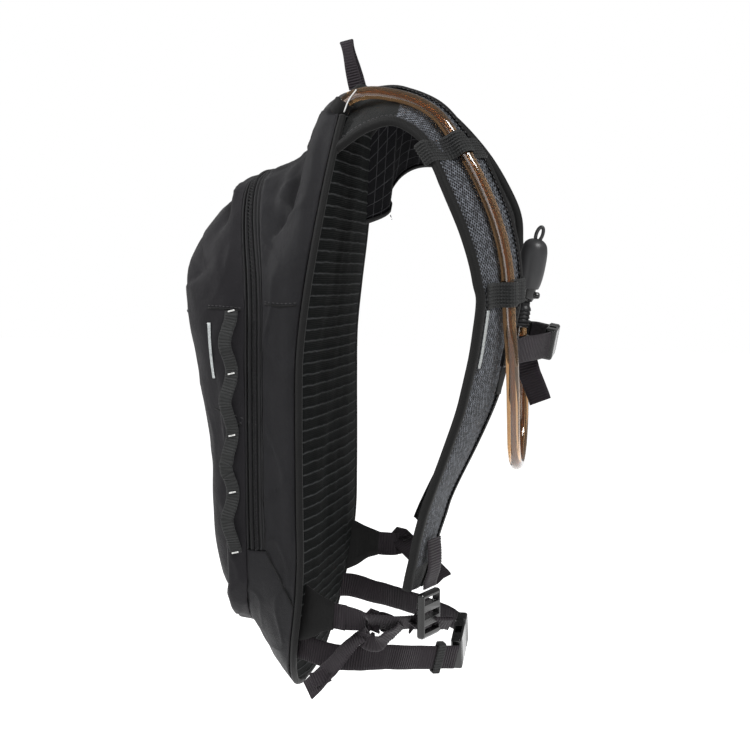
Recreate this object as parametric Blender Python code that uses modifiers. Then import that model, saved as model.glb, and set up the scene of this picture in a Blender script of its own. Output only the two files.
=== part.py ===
"""A slim hydration pack for riding, held upright as it is worn.

Frame: +X is the wearer's right, +Y points forward to the wearer's back, +Z is up.
The origin is the middle of the flat part of the back panel's contact face.
All sizes are in metres.
"""

import math

import bmesh
import bpy
import numpy as np
from mathutils import Matrix, Vector

# ---------------------------------------------------------------- driving sizes
GAP = 0.0003            # clearance between pieces that touch on the real pack
FABRIC = 0.0014         # coated body fabric with its seam allowance
MESH = 0.0010           # spacer mesh skin on the back panel
PAD = 0.0085            # foam of the back panel
PAD_INSET = 0.978       # the foam is this much smaller than the panel, clear of its seam
EDGE_DROP = 0.003       # how far the panel's edges lie behind its middle
STRAP_THICK = 0.007     # padded shoulder strap
WEB_WIDTH = 0.020       # all load webbing
WEB_THICK = 0.0016
TUBE_DIAMETER = 0.0095  # drinking tube, outside

# height and half width of the shield-shaped back panel, from its foot to its top
SHIELD = (
    (-0.165, 0.030), (-0.158, 0.052), (-0.145, 0.070), (-0.120, 0.087), (-0.088, 0.0975),
    (-0.055, 0.1025), (-0.020, 0.105), (0.020, 0.106), (0.060, 0.106), (0.100, 0.1055),
    (0.140, 0.104), (0.175, 0.100), (0.210, 0.091), (0.245, 0.0775), (0.268, 0.065),
    (0.282, 0.052), (0.289, 0.036),
)
SHIELD_FOOT = SHIELD[0][0]
SHIELD_TOP = SHIELD[-1][0]
BOTTOM_SEAM_ROW = 4     # the bottom panel's seam starts at this point of the shield
SHOULDER = 0.14         # above this height the body tapers to its top
HIPS = -0.05            # below this height it tapers to its foot

# the front silhouette: height and how far forward of the wearer's back it stands
FRONT_FACE = (
    (-0.118, -0.060), (-0.106, -0.074), (-0.079, -0.081), (-0.023, -0.086), (0.017, -0.0845),
    (0.068, -0.0925), (0.130, -0.103), (0.157, -0.1062), (0.181, -0.102), (0.212, -0.079),
    (0.227, -0.066), (0.234, -0.056),
)

# shoulder straps: centre point, half width and the direction across, as on the right side;
# the left one's root is spread down the slope of the shoulder and it hangs closer to the back
STRAPS = {
    "right": (
        ((0.0550, 0.0315, 0.2760), 0.0300, (0.83, 0.00, -0.55)),
        ((0.0560, 0.0420, 0.2800), 0.0300, (0.86, 0.00, -0.50)),
        ((0.0600, 0.0610, 0.2815), 0.0300, (0.90, 0.00, -0.42)),
        ((0.0690, 0.0820, 0.2720), 0.0290, (0.92, -0.06, -0.38)),
        ((0.0780, 0.1000, 0.2500), 0.0290, (0.94, -0.14, -0.30)),
        ((0.0830, 0.1150, 0.2240), 0.0290, (0.94, -0.24, -0.22)),
        ((0.0850, 0.1270, 0.1960), 0.0290, (0.95, -0.27, -0.15)),
        ((0.0865, 0.1355, 0.1610), 0.0290, (0.97, -0.24, -0.06)),
        ((0.0870, 0.1350, 0.1260), 0.0290, (0.985, -0.16, 0.00)),
        ((0.0880, 0.1290, 0.0930), 0.0290, (0.99, -0.13, 0.00)),
        ((0.0900, 0.1210, 0.0620), 0.0290, (0.993, -0.12, 0.00)),
        ((0.0930, 0.1110, 0.0350), 0.0290, (0.993, -0.12, 0.00)),
        ((0.0960, 0.1000, 0.0080), 0.0280, (0.993, -0.12, 0.00)),
        ((0.0980, 0.0910, -0.0190), 0.0250, (0.985, -0.17, 0.00)),
        ((0.0990, 0.0840, -0.0460), 0.0190, (0.97, -0.24, 0.00)),
        ((0.1000, 0.0780, -0.0690), 0.0115, (0.93, -0.37, 0.00)),
    ),
    "left": (
        ((0.0640, 0.0212, 0.2270), 0.0650, (0.52, -0.15, -0.84)),
        ((0.0670, 0.0265, 0.2370), 0.0590, (0.54, -0.15, -0.83)),
        ((0.0695, 0.0340, 0.2515), 0.0535, (0.66, -0.20, -0.72)),
        ((0.0710, 0.0450, 0.2610), 0.0505, (0.72, -0.22, -0.66)),
        ((0.0720, 0.0580, 0.2625), 0.0440, (0.76, -0.21, -0.60)),
        ((0.0750, 0.0725, 0.2590), 0.0400, (0.80, -0.20, -0.55)),
        ((0.0790, 0.0890, 0.2485), 0.0355, (0.84, -0.20, -0.50)),
        ((0.0840, 0.1080, 0.2275), 0.0325, (0.86, -0.24, -0.44)),
        ((0.0870, 0.1235, 0.2020), 0.0330, (0.88, -0.25, -0.36)),
        ((0.0880, 0.1330, 0.1680), 0.0310, (0.95, -0.22, -0.15)),
        ((0.0880, 0.1350, 0.1330), 0.0300, (0.98, -0.16, -0.03)),
        ((0.0885, 0.1290, 0.0980), 0.0290, (0.99, -0.13, 0.00)),
        ((0.0905, 0.1170, 0.0640), 0.0290, (0.993, -0.12, 0.00)),
        ((0.0935, 0.1020, 0.0320), 0.0290, (0.993, -0.12, 0.00)),
        ((0.0965, 0.0860, 0.0030), 0.0280, (0.993, -0.12, 0.00)),
        ((0.0985, 0.0720, -0.0220), 0.0240, (0.985, -0.17, 0.00)),
        ((0.0995, 0.0610, -0.0450), 0.0180, (0.97, -0.24, 0.00)),
        ((0.1000, 0.0530, -0.0640), 0.0115, (0.93, -0.37, 0.00)),
    ),
}
KEEPER_WIDTH = 0.018
KEEPERS = {"upper": 0.215, "lower": 0.470}    # elastic tube keepers, as shares of the strap

# drinking tube outside the pack: out of the port, along the strap, round its bend, to the valve
TUBE_ROUTE = (
    (0.0560, 0.0145, 0.2780), (0.0560, 0.0177, 0.2825), (0.0562, 0.0222, 0.2870),
    (0.0568, 0.0290, 0.2900), (0.0583, 0.0370, 0.2912), (0.0610, 0.0460, 0.2910),
    (0.0640, 0.0545, 0.2897), (0.0677, 0.0655, 0.2874), (0.0720, 0.0780, 0.2828),
    (0.0771, 0.0912, 0.2744), (0.0822, 0.1052, 0.2570), (0.0843, 0.1165, 0.2400),
    (0.0857, 0.1258, 0.2225), (0.0868, 0.1344, 0.2023), (0.0883, 0.1407, 0.1812),
    (0.0887, 0.1439, 0.1635), (0.0886, 0.1449, 0.1455), (0.0885, 0.1459, 0.1250),
    (0.0880, 0.1476, 0.1050), (0.0868, 0.1486, 0.0800), (0.0845, 0.1490, 0.0550),
    (0.0793, 0.1490, 0.0355), (0.0650, 0.1490, 0.0212), (0.0455, 0.1490, 0.0160),
    (0.0260, 0.1490, 0.0212), (0.0117, 0.1490, 0.0355), (0.0065, 0.1490, 0.0550),
    (0.0060, 0.1478, 0.0760), (0.0060, 0.1459, 0.1010), (0.0060, 0.1471, 0.1150),
)
# the tube inside the pack: from the reservoir's connector up to the port
INNER_ROUTE = (
    (0.0000, -0.0335, -0.0560), (0.0010, -0.0335, -0.0350), (0.0080, -0.0335, 0.0100),
    (0.0240, -0.0335, 0.0600), (0.0400, -0.0335, 0.1100), (0.0470, -0.0333, 0.1450),
    (0.0510, -0.0318, 0.1720), (0.0535, -0.0200, 0.2000), (0.0548, -0.0068, 0.2230),
    (0.0556, -0.0005, 0.2430), (0.0560, 0.0050, 0.2590), (0.0560, 0.0102, 0.2690),
    (0.0560, 0.0137, 0.2770),
)

COLOURS = {
    "shell": ((0.040, 0.040, 0.046), 0.62, 0.0),
    "front": ((0.030, 0.029, 0.033), 0.58, 0.0),
    "mesh": ((0.030, 0.032, 0.033), 0.85, 0.0),
    "foam": ((0.050, 0.050, 0.052), 0.95, 0.0),
    "binding": ((0.028, 0.028, 0.029), 0.75, 0.0),
    "webbing": ((0.046, 0.042, 0.046), 0.70, 0.0),
    "strap": ((0.105, 0.115, 0.130), 0.90, 0.0),
    "elastic": ((0.055, 0.056, 0.056), 0.72, 0.0),
    "plastic": ((0.018, 0.018, 0.019), 0.25, 0.0),
    "rubber": ((0.022, 0.022, 0.023), 0.50, 0.0),
    "tube": ((0.330, 0.180, 0.090), 0.12, 0.0),
    "bladder": ((0.350, 0.520, 0.600), 0.20, 0.0),
    "metal": ((0.350, 0.350, 0.360), 0.30, 0.9),
}


# ---------------------------------------------------------------- small helpers
def clear_scene():
    for thing in list(bpy.data.objects):
        bpy.data.objects.remove(thing, do_unlink=True)


def collection(name):
    group = bpy.data.collections.new(name)
    bpy.context.scene.collection.children.link(group)
    return group


def material(slot):
    made = bpy.data.materials.get(slot)
    if made:
        return made
    colour, roughness, metallic = COLOURS[slot]
    made = bpy.data.materials.new(slot)
    made.use_nodes = True
    shader = made.node_tree.nodes["Principled BSDF"]
    shader.inputs["Base Color"].default_value = (*colour, 1.0)
    shader.inputs["Roughness"].default_value = roughness
    shader.inputs["Metallic"].default_value = metallic
    made.diffuse_color = (*colour, 1.0)
    return made


def place(name, data, slot, group=None):
    thing = bpy.data.objects.new(name, data)
    data.materials.append(material(slot))
    (group or PARTS).objects.link(thing)
    return thing


def smooth(points, count):
    """Points at even steps along a smooth curve through the given points."""
    knots = np.array(points, dtype=float)
    chord = np.concatenate([[0.0], np.cumsum(np.linalg.norm(np.diff(knots[:, :3], axis=0), axis=1))])
    slopes = np.gradient(knots, chord, axis=0)
    fine = np.linspace(0.0, chord[-1], 40 * len(knots))
    span = np.clip(np.searchsorted(chord, fine, side="right") - 1, 0, len(knots) - 2)
    width = (chord[span + 1] - chord[span])[:, None]
    t = (fine - chord[span])[:, None] / width
    curve = (
        (2 * t**3 - 3 * t**2 + 1) * knots[span]
        + (t**3 - 2 * t**2 + t) * width * slopes[span]
        + (3 * t**2 - 2 * t**3) * knots[span + 1]
        + (t**3 - t**2) * width * slopes[span + 1]
    )
    length = np.concatenate([[0.0], np.cumsum(np.linalg.norm(np.diff(curve[:, :3], axis=0), axis=1))])
    stops = np.linspace(0.0, length[-1], count)
    return np.stack([np.interp(stops, length, curve[:, k]) for k in range(curve.shape[1])], axis=1)


def mirrored(points):
    return [(-p[0], *p[1:]) for p in points]


def shade(mesh, angle=40.0):
    mesh.shade_smooth()
    mesh.set_sharp_from_angle(angle=math.radians(angle))


def skin(name, rows, slot, thickness, offset=-1.0, closed_rows=False, cap=False):
    """A sheet of quads through rows of points, thickened to a closed shell."""
    mesh = bpy.data.meshes.new(name)
    build = bmesh.new()
    grid = [[build.verts.new(p) for p in row] for row in rows]
    for low, high in zip(grid, grid[1:]):
        count = len(low) if closed_rows else len(low) - 1
        for k in range(count):
            n = (k + 1) % len(low)
            build.faces.new((low[k], low[n], high[n], high[k]))
    if cap:
        build.faces.new(grid[-1])
    build.to_mesh(mesh)
    build.free()
    shade(mesh)
    thing = place(name, mesh, slot)
    solid = thing.modifiers.new("thickness", "SOLIDIFY")
    solid.thickness = thickness
    solid.offset = offset
    solid.use_even_offset = True
    return thing


def ribbon(name, centres, across, halves, slot, thickness=WEB_THICK, crown=0.0, columns=1):
    """A strap along centre points; across gives its width direction at each."""
    centres = np.array(centres, dtype=float)
    tangents = np.gradient(centres, axis=0)
    rows = []
    for centre, tangent, side, half in zip(centres, tangents, across, halves):
        tangent = Vector(tangent).normalized()
        side = Vector(side)
        side = (side - tangent * side.dot(tangent)).normalized()
        out = side.cross(tangent)
        row = []
        for k in range(columns + 1):
            share = 2.0 * k / columns - 1.0
            row.append(Vector(centre) + side * half * share + out * crown * (1.0 - share**2))
        rows.append(row)
    return skin(name, rows, slot, thickness, offset=0.0)


def tube(name, points, radius, slot, resolution=2):
    curve = bpy.data.curves.new(name, "CURVE")
    curve.dimensions = "3D"
    line = curve.splines.new("POLY")
    line.points.add(len(points) - 1)
    for spot, point in zip(line.points, points):
        spot.co = (*point[:3], 1.0)
    curve.bevel_depth = radius
    curve.bevel_resolution = resolution
    curve.use_fill_caps = True
    return place(name, curve, slot)


def block(name, size, centre, slot, axes=None, bevel=0.0, group=None):
    """A box of the given size; axes are its own X, Y and Z directions."""
    mesh = bpy.data.meshes.new(name)
    build = bmesh.new()
    bmesh.ops.create_cube(build, size=1.0)
    bmesh.ops.scale(build, vec=Vector(size), verts=build.verts)
    build.to_mesh(mesh)
    build.free()
    thing = place(name, mesh, slot, group)
    turn = Matrix(axes).transposed().to_4x4() if axes else Matrix.Identity(4)
    thing.matrix_world = Matrix.Translation(Vector(centre)) @ turn
    if bevel:
        edge = thing.modifiers.new("edges", "BEVEL")
        edge.width = bevel
        edge.segments = 1
        edge.limit_method = "ANGLE"
    return thing


def turned(name, profile, slot, centre, axis, steps=20):
    """A solid of revolution; the profile is radius and height, down its outer side."""
    mesh = bpy.data.meshes.new(name)
    spots = [(radius, 0.0, height) for radius, height in profile]
    mesh.from_pydata(spots, [(k, k + 1) for k in range(len(spots) - 1)], [])
    thing = place(name, mesh, slot)
    spin = thing.modifiers.new("turn", "SCREW")
    spin.steps = steps
    spin.render_steps = steps
    spin.use_merge_vertices = True
    spin.merge_threshold = 0.00005
    spin.use_smooth_shade = True
    turn = Vector((0, 0, 1)).rotation_difference(Vector(axis)).to_matrix().to_4x4()
    thing.matrix_world = Matrix.Translation(Vector(centre)) @ turn
    return thing


def cut(thing, *cutters):
    for cutter in cutters:
        cutter.hide_render = True
        cutter.display_type = "WIRE"
        hole = thing.modifiers.new("cut", "BOOLEAN")
        hole.operation = "DIFFERENCE"
        hole.object = cutter


def join(thing, *others):
    for other in others:
        other.hide_render = True
        other.display_type = "WIRE"
        for group in other.users_collection:
            group.objects.unlink(other)
        CUTTERS.objects.link(other)
        union = thing.modifiers.new("join", "BOOLEAN")
        union.operation = "UNION"
        union.object = other


def cutter_block(name, size, centre, axes=None):
    return block(name, size, centre, "shell", axes, group=CUTTERS)


# ---------------------------------------------------------------- body outline
def panel_depth(height):
    """The contact face: flat in the middle, leaning forward above and back below."""
    bend = 0.030
    lean_up = 0.145
    lean_down = 0.18
    rise = height - 0.105
    fall = -0.070 - height
    depth = 0.0
    for run, slope in ((rise, lean_up), (fall, -lean_down)):
        if run > bend:
            depth += slope * run
        elif run > -bend:
            depth += slope * (run + bend) ** 2 / (4.0 * bend)
    return depth


def front_depth(height):
    heights, depths = zip(*FRONT_FACE)
    return float(np.interp(height, heights, depths))


def ease(share):
    share = min(max(share, 0.0), 1.0)
    return share * share * (3.0 - 2.0 * share)


def ring(top, side, foot, grow=0.0, width=1.0, squeeze=1.0, front=None, panel=False):
    """A loop round the pack, up its right side and down its left.

    top and foot are depth and height at the ends, side is the depth between them. front
    sets the loop that far behind the front face, and panel behind the contact face.
    """
    right = []
    for height, half in SHIELD:
        z = height
        y = side
        if height > SHOULDER:
            share = (height - SHOULDER) / (SHIELD_TOP - SHOULDER)
            z = SHOULDER + share * (top[1] - SHOULDER)
            y = side + ease(share) * (top[0] - side)
        elif height < HIPS:
            share = (HIPS - height) / (HIPS - SHIELD_FOOT)
            z = HIPS - share * (HIPS - foot[1])
            y = side + ease(share) * (foot[0] - side)
        middle = 0.06
        z = middle + (z - middle) * squeeze
        if front is not None:
            y = front_depth(z) + front
        if panel:
            y = panel_depth(height) - EDGE_DROP + side
        right.append(Vector((half * width, y, z)))
    loop = right + [Vector((-p.x, p.y, p.z)) for p in reversed(right)]
    if not grow:
        return loop
    grown = []
    for k, point in enumerate(loop):
        ahead = loop[(k + 1) % len(loop)] - loop[k - 1]
        out = Vector((ahead.z, 0.0, -ahead.x)).normalized()
        grown.append(point + out * grow)
    return grown


PIPING_RADIUS = 0.0020
GUSSET_RINGS = (
    dict(top=(0, SHIELD_TOP), side=-0.0055, foot=(0, SHIELD_FOOT), grow=0.0024, panel=True),
    dict(top=(0.001, 0.277), side=-0.0150, foot=(-0.030, -0.157), grow=0.0020),
    dict(top=(-0.009, 0.252), side=-0.0210, foot=(-0.036, -0.148), grow=0.0015),
    dict(top=(-0.026, 0.2385), side=-0.0270, foot=(-0.042, -0.138), grow=0.0005),
    dict(top=(-0.042, 0.2345), side=-0.0325, foot=(-0.047, -0.128)),
)
ZIP_RING = dict(top=(-0.0550, 0.2335), side=-0.0465, foot=(-0.0520, -0.118), width=0.99)
FRONT_RINGS = (
    dict(top=(-0.0555, 0.2333), side=-0.0468, foot=(-0.0523, -0.1175), width=0.99),
    dict(top=(-0.0610, 0.2310), side=-0.0600, foot=(-0.0640, -0.1130), width=0.985),
    dict(top=(0, 0.2290), side=0, foot=(0, -0.1130), width=0.94, squeeze=0.985, front=0.026),
    dict(top=(0, 0.2290), side=0, foot=(0, -0.1130), width=0.85, squeeze=0.93, front=0.0135),
    dict(top=(0, 0.2290), side=0, foot=(0, -0.1130), width=0.54, squeeze=0.72, front=0.0050),
    dict(top=(0, 0.2290), side=0, foot=(0, -0.1130), width=0.22, squeeze=0.38, front=0.0),
)


def trimmed(row, first, last, inset=0.0003):
    """Part of a loop, whose two ends stop just short of their neighbours."""
    count = len(row)
    part = [row[k % count].copy() for k in range(first, last + 1)]
    part[0] += (part[1] - part[0]).normalized() * inset
    part[-1] += (part[-2] - part[-1]).normalized() * inset
    return part


def port_cutter(name, behind):
    """A round opening for the hose port, running from behind the port out past the seam."""
    radius = PORT_RADIUS + GAP + 0.0002
    opening = turned(name, ((0, 0.020), (radius, 0.020), (radius, -behind), (0, -behind)),
                     "shell", PORT_CENTRE, PORT_AXIS, steps=16)
    PARTS.objects.unlink(opening)
    CUTTERS.objects.link(opening)
    return opening


def body_shells():
    count = 2 * len(SHIELD)
    loops = [ring(**spec) for spec in GUSSET_RINGS]
    zip_loop = ring(**ZIP_RING)
    upper = (BOTTOM_SEAM_ROW, count - 1 - BOTTOM_SEAM_ROW)
    lower = (count - 1 - BOTTOM_SEAM_ROW, count + BOTTOM_SEAM_ROW)
    gusset = skin("rear_gusset", [trimmed(row, *upper) for row in loops], "shell", FABRIC)
    bottom = [trimmed(row, *lower) for row in loops + [zip_loop]]
    skin("bottom_panel", bottom, "shell", FABRIC)

    lane = []
    for share in (0.03, 0.5, 0.97):
        inward = 0.0012
        row = [a.lerp(b, share) for a, b in zip(loops[-1], zip_loop)]
        row = [Vector((p.x * (1 - inward / 0.1), p.y, p.z * (1 - inward / 0.2))) for p in row]
        lane.append(trimmed(row, *upper))
    skin("main_zip_tape", lane, "binding", 0.0012)

    skin("front_shell", [ring(**spec) for spec in FRONT_RINGS], "front", FABRIC,
         closed_rows=True, cap=True)

    cut(gusset, port_cutter("gusset_port", 0.0180))
    lip = ((0.0053, 0.0050), (PORT_RADIUS, 0.0050), (PORT_RADIUS, -0.0050), (0.0053, -0.0050),
           (0.0053, 0.0050))
    turned("hose_port", lip, "rubber", PORT_CENTRE, PORT_AXIS, steps=16)


def opened(loop, centre, clear):
    """A loop as an open line, its ends on either side of a round opening."""
    steps = 8
    dense = []
    for a, b in zip(loop, loop[1:] + loop[:1]):
        dense += [(k == 0, a.lerp(b, k / steps)) for k in range(steps)]
    outside = [(point - Vector(centre)).length > clear for _, point in dense]
    start = next(k for k in range(len(dense)) if outside[k] and not outside[k - 1])
    run = [dense[(start + k) % len(dense)] for k in range(sum(outside))]
    return [point for k, (corner, point) in enumerate(run) if corner or k in (0, len(run) - 1)]


def back_panel():
    shares = (1.0, 0.82, 0.52, 0.18, -0.18, -0.52, -0.82, -1.0)
    skin_rows, pad_rows = [], []
    for height, half in SHIELD:
        depth = panel_depth(height)
        skin_row, pad_row = [], []
        for share in shares:
            drop = EDGE_DROP * max(0.0, (abs(share) - 0.52) / 0.48) ** 1.5
            skin_row.append(Vector((half * share, depth - drop, height)))
            spot = 0.06 + (height - 0.06) * PAD_INSET
            pad_depth = panel_depth(spot) - drop - MESH - 2 * GAP
            pad_row.append(Vector((half * share * PAD_INSET, pad_depth, spot)))
        skin_rows.append(skin_row)
        pad_rows.append(pad_row)
    mesh = skin("back_mesh", skin_rows, "mesh", MESH)
    cut(mesh, port_cutter("mesh_port", 0.0180))
    pad = skin("back_pad", pad_rows, "foam", PAD)
    cut(pad, port_cutter("pad_port", 0.0250))
    piping = ring(top=(0, SHIELD_TOP), side=-0.0022, foot=(0, SHIELD_FOOT), grow=0.0026, panel=True)
    line = opened(piping, PORT_CENTRE, PORT_RADIUS + PIPING_RADIUS + GAP)
    tube("panel_piping", line, PIPING_RADIUS, "binding", resolution=1)


def pillow(name, half_width, half_height, centre, slot, half_depth, corner=0.02):
    """A flat bag with round corners and crowned faces."""
    def loop(scale, depth):
        points = []
        for side_x, side_z, start in ((1, -1, -90), (1, 1, 0), (-1, 1, 90), (-1, -1, 180)):
            for step in range(4):
                angle = math.radians(start + 30 * step)
                x = side_x * (half_width - corner) + corner * math.cos(angle)
                z = side_z * (half_height - corner) + corner * math.sin(angle)
                points.append(Vector((centre[0] + x * scale, centre[1] + depth, centre[2] + z * scale)))
        return points

    mesh = bpy.data.meshes.new(name)
    build = bmesh.new()
    levels = ((0.80, -1.0), (0.95, -0.75), (1.0, 0.0), (0.95, 0.75), (0.80, 1.0))
    loops = [[build.verts.new(p) for p in loop(s, d * half_depth)] for s, d in levels]
    for low, high in zip(loops, loops[1:]):
        for k in range(len(low)):
            n = (k + 1) % len(low)
            build.faces.new((low[k], low[n], high[n], high[k]))
    build.faces.new(list(reversed(loops[0])))
    build.faces.new(loops[-1])
    bmesh.ops.recalc_face_normals(build, faces=build.faces)
    build.to_mesh(mesh)
    build.free()
    shade(mesh)
    return place(name, mesh, slot)


# ---------------------------------------------------------------- reservoir
RESERVOIR_CENTRE = (0.0, -0.0192, 0.050)
CAP_CENTRE = (-0.022, -0.0269, 0.125)
OUTLET = (0.0, -0.0269, -0.070)


def reservoir():
    """A filled water bag with a screw cap and a quick connector low on its face."""
    bag = pillow("reservoir_bag", 0.072, 0.133, RESERVOIR_CENTRE, "bladder", 0.0072)
    back = (0.0, -1.0, 0.0)
    x, y, z = CAP_CENTRE
    neck = turned("bag_neck", ((0, 0.0032), (0.0165, 0.0032), (0.0165, -0.003), (0, -0.003)),
                  "bladder", (x, y, z), back)
    ring_profile = ((0.0120, 0.0045), (0.0160, 0.0045), (0.0160, 0.0035), (0.0120, 0.0035),
                    (0.0120, 0.0045))
    turned("fill_gasket", ring_profile, "rubber", (x, y, z), back)
    cap = ((0, 0.0095), (0.0205, 0.0095), (0.0215, 0.0085), (0.0215, 0.0008), (0.0180, 0.0008),
           (0.0180, 0.0048), (0, 0.0048))
    lid = turned("fill_cap", cap, "plastic", (x, y, z), back, steps=24)
    join(lid, block("cap_grip", (0.030, 0.0032, 0.0040), (x, y - 0.0104, z), "plastic"))

    x, y, z = OUTLET
    outlet = turned("bag_outlet", ((0, 0.0032), (0.0100, 0.0032), (0.0100, -0.003), (0, -0.003)),
                    "bladder", (x, y, z), back, steps=16)
    join(bag, neck, outlet)
    middle = (x, y - 0.0079, z)
    housing = block("quick_connector", (0.018, 0.0088, 0.026), middle, "plastic", bevel=0.0012)
    pocket = cutter_block("button_pocket", (0.010, 0.0050, 0.0080), (x + 0.0080, middle[1], z))
    cut(housing, pocket)
    block("connector_button", (0.0070, 0.0044, 0.0074), (x + 0.0079, middle[1], z), "rubber",
          bevel=0.0005)
    tube("inner_tube", smooth(INNER_ROUTE, 22), TUBE_DIAMETER / 2, "tube")
    divider = []
    for height, half in SHIELD[5:12]:
        divider.append([Vector((half * share * 0.88, -0.0405, height)) for share in (1.0, 0.0, -1.0)])
    skin("sleeve_divider", divider, "shell", 0.0010)
    hanger = [Vector((side, -0.0180, height)) for height, side in ((0.1900, 0.011), (0.2150, 0.011))]
    rows = [[Vector((-p.x, p.y, p.z)), p] for p in hanger]
    tab = skin("hanger_tab", rows, "webbing", WEB_THICK)
    join(tab, block("hanger_bar", (0.030, 0.0050, 0.0050), (0.0, -0.0190, 0.2160), "plastic"))


PORT_RADIUS = 0.0074
PORT_CENTRE = (0.056, 0.0160, 0.2802)
PORT_AXIS = Vector((0.0, 0.57, 0.82)).normalized()


# ---------------------------------------------------------------- shoulder straps
def strap_stations(name, count):
    """Centre, half width and the three directions of a strap, as on the right side."""
    packed = [(*centre, half, *side) for centre, half, side in STRAPS[name]]
    rows = smooth(packed, count)
    tangents = np.gradient(rows[:, :3], axis=0)
    stations = []
    for row, tangent in zip(rows, tangents):
        along = Vector(tangent).normalized()
        side = Vector(row[4:7]).normalized()
        out = side.cross(along).normalized()
        if out.y + out.z < 0:
            out = -out
        stations.append((Vector(row[:3]), float(row[3]), side, along, out))
    return stations


def strap_at(name, share):
    return strap_stations(name, 201)[round(share * 200)]


def flip(vector, side):
    return Vector((vector.x * side, vector.y, vector.z))


def shoulder_straps():
    for name, side in (("right", 1), ("left", -1)):
        stations = strap_stations(name, 22)
        rows = []
        for centre, half, across, along, out in stations:
            row = []
            for share in (-1.0, -0.5, 0.5, 1.0):
                bulge = -0.0008 * abs(share)
                row.append(flip(centre + across * half * share + out * bulge, side))
            rows.append(row if side > 0 else list(reversed(row)))
        skin(f"shoulder_strap_{name}", rows, "strap", STRAP_THICK, offset=0.0)

    for level, share in KEEPERS.items():
        centre, half, across, along, out = strap_at("right", share)
        over = min(smooth(TUBE_ROUTE, 400), key=lambda spot: (Vector(spot) - centre).length)
        beside = (Vector(over) - centre).dot(across)
        top = (Vector(over) - centre).dot(out) + TUBE_DIAMETER / 2 + 0.0012
        rise = STRAP_THICK / 2 + 0.0011
        path = (
            (-half - 0.0018, -0.004), (-half - 0.0017, rise - 0.0010), (-half + 0.0020, rise),
            (beside - 0.0100, rise), (beside - 0.0070, rise + 0.0040),
            (beside - 0.0044, top - 0.0008), (beside, top),
            (beside + 0.0044, top - 0.0008), (beside + 0.0070, rise + 0.0040),
            (beside + 0.0100, rise), (half - 0.0020, rise),
            (half + 0.0017, rise - 0.0010), (half + 0.0018, -0.004),
        )
        points = [centre + across * s + out * n for s, n in path]
        ribbon(f"tube_keeper_{level}", points, [along] * len(points),
               [KEEPER_WIDTH / 2] * len(points), "elastic", thickness=0.0010)


# ---------------------------------------------------------------- sternum strap
STERNUM_AXIS = Vector((0.0, 0.180, 0.984)).normalized()
RAIL_POINT = Vector((0.0652, 0.1412, 0.1030))
RAIL_HALF = 0.0325


def rail_axes(side):
    """The rail's width, outward and length directions."""
    along = STERNUM_AXIS
    across = Vector((0.93, -0.38, 0.0))
    across = (across - along * across.dot(along)).normalized()
    out = across.cross(along) * -1.0
    if out.y < 0:
        out = -out
    return flip(across, side), flip(out, side), along


def sternum():
    for name, side in (("right", 1), ("left", -1)):
        across, out, along = rail_axes(side)
        middle = flip(RAIL_POINT, side)
        ends = [middle + along * RAIL_HALF * share for share in (-1.0, 1.0)]
        ribbon(f"sternum_rail_{name}", ends, [across] * 2, [0.0040] * 2, "webbing",
               thickness=0.0020)
        axes = (across, out, along) if side > 0 else (-across, out, along)
        slider = block(f"sternum_slider_{name}", (0.0150, 0.0070, 0.0220),
                       middle + out * 0.0016, "plastic", axes, bevel=0.0010)
        slot = cutter_block(f"slider_slot_{name}", (0.0096, 0.0060, 0.0300),
                            middle - out * 0.0010, axes)
        cut(slider, slot)

    start = RAIL_POINT + rail_axes(1)[1] * 0.0065
    route = [
        start, (0.0550, 0.1530, 0.1030), (0.0420, 0.1605, 0.1030), (0.0300, 0.1660, 0.1030),
        (0.0180, 0.1690, 0.1030),
    ]
    right = smooth([tuple(p) for p in route], 8)
    upright = [STERNUM_AXIS] * len(right)
    ribbon("sternum_webbing_right", right, upright, [WEB_WIDTH / 2] * len(right), "webbing")
    route[-2:] = [(0.0340, 0.1648, 0.1030), (0.0275, 0.1668, 0.1030)]
    left = smooth(mirrored([tuple(p) for p in route]), 8)
    ribbon("sternum_webbing_left", left, upright, [WEB_WIDTH / 2] * len(left), "webbing")
    tail = smooth([(0.0225, 0.1530, 0.0895), (0.0235, 0.1560, 0.0800), (0.0245, 0.1600, 0.0700),
                   (0.0255, 0.1640, 0.0600)], 6)
    ribbon("sternum_tail", tail, [(0.25, 0.95, 0.18)] * 6, [WEB_WIDTH / 2 - 0.001] * 6, "webbing")
    buckle("sternum", Vector((0.0, 0.1690, 0.1030)), Vector((1.0, 0.0, 0.0)), STERNUM_AXIS, 0.024)

    # the clip that holds the tube to the strap: a split ring on a short arm
    x, y, z = TUBE_ROUTE[-1]
    ring_profile = ((0.0052, 0.0045), (0.0072, 0.0045), (0.0072, -0.0045), (0.0052, -0.0045),
                    (0.0052, 0.0045))
    clip = turned("tube_clip", ring_profile, "plastic", (x, y - 0.0010, z - 0.0110), (0, 0.02, 1.0))
    arm = block("clip_arm", (0.0060, 0.0100, 0.0070), (x, y + 0.0112, z - 0.0110), "plastic")
    join(clip, arm)


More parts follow.
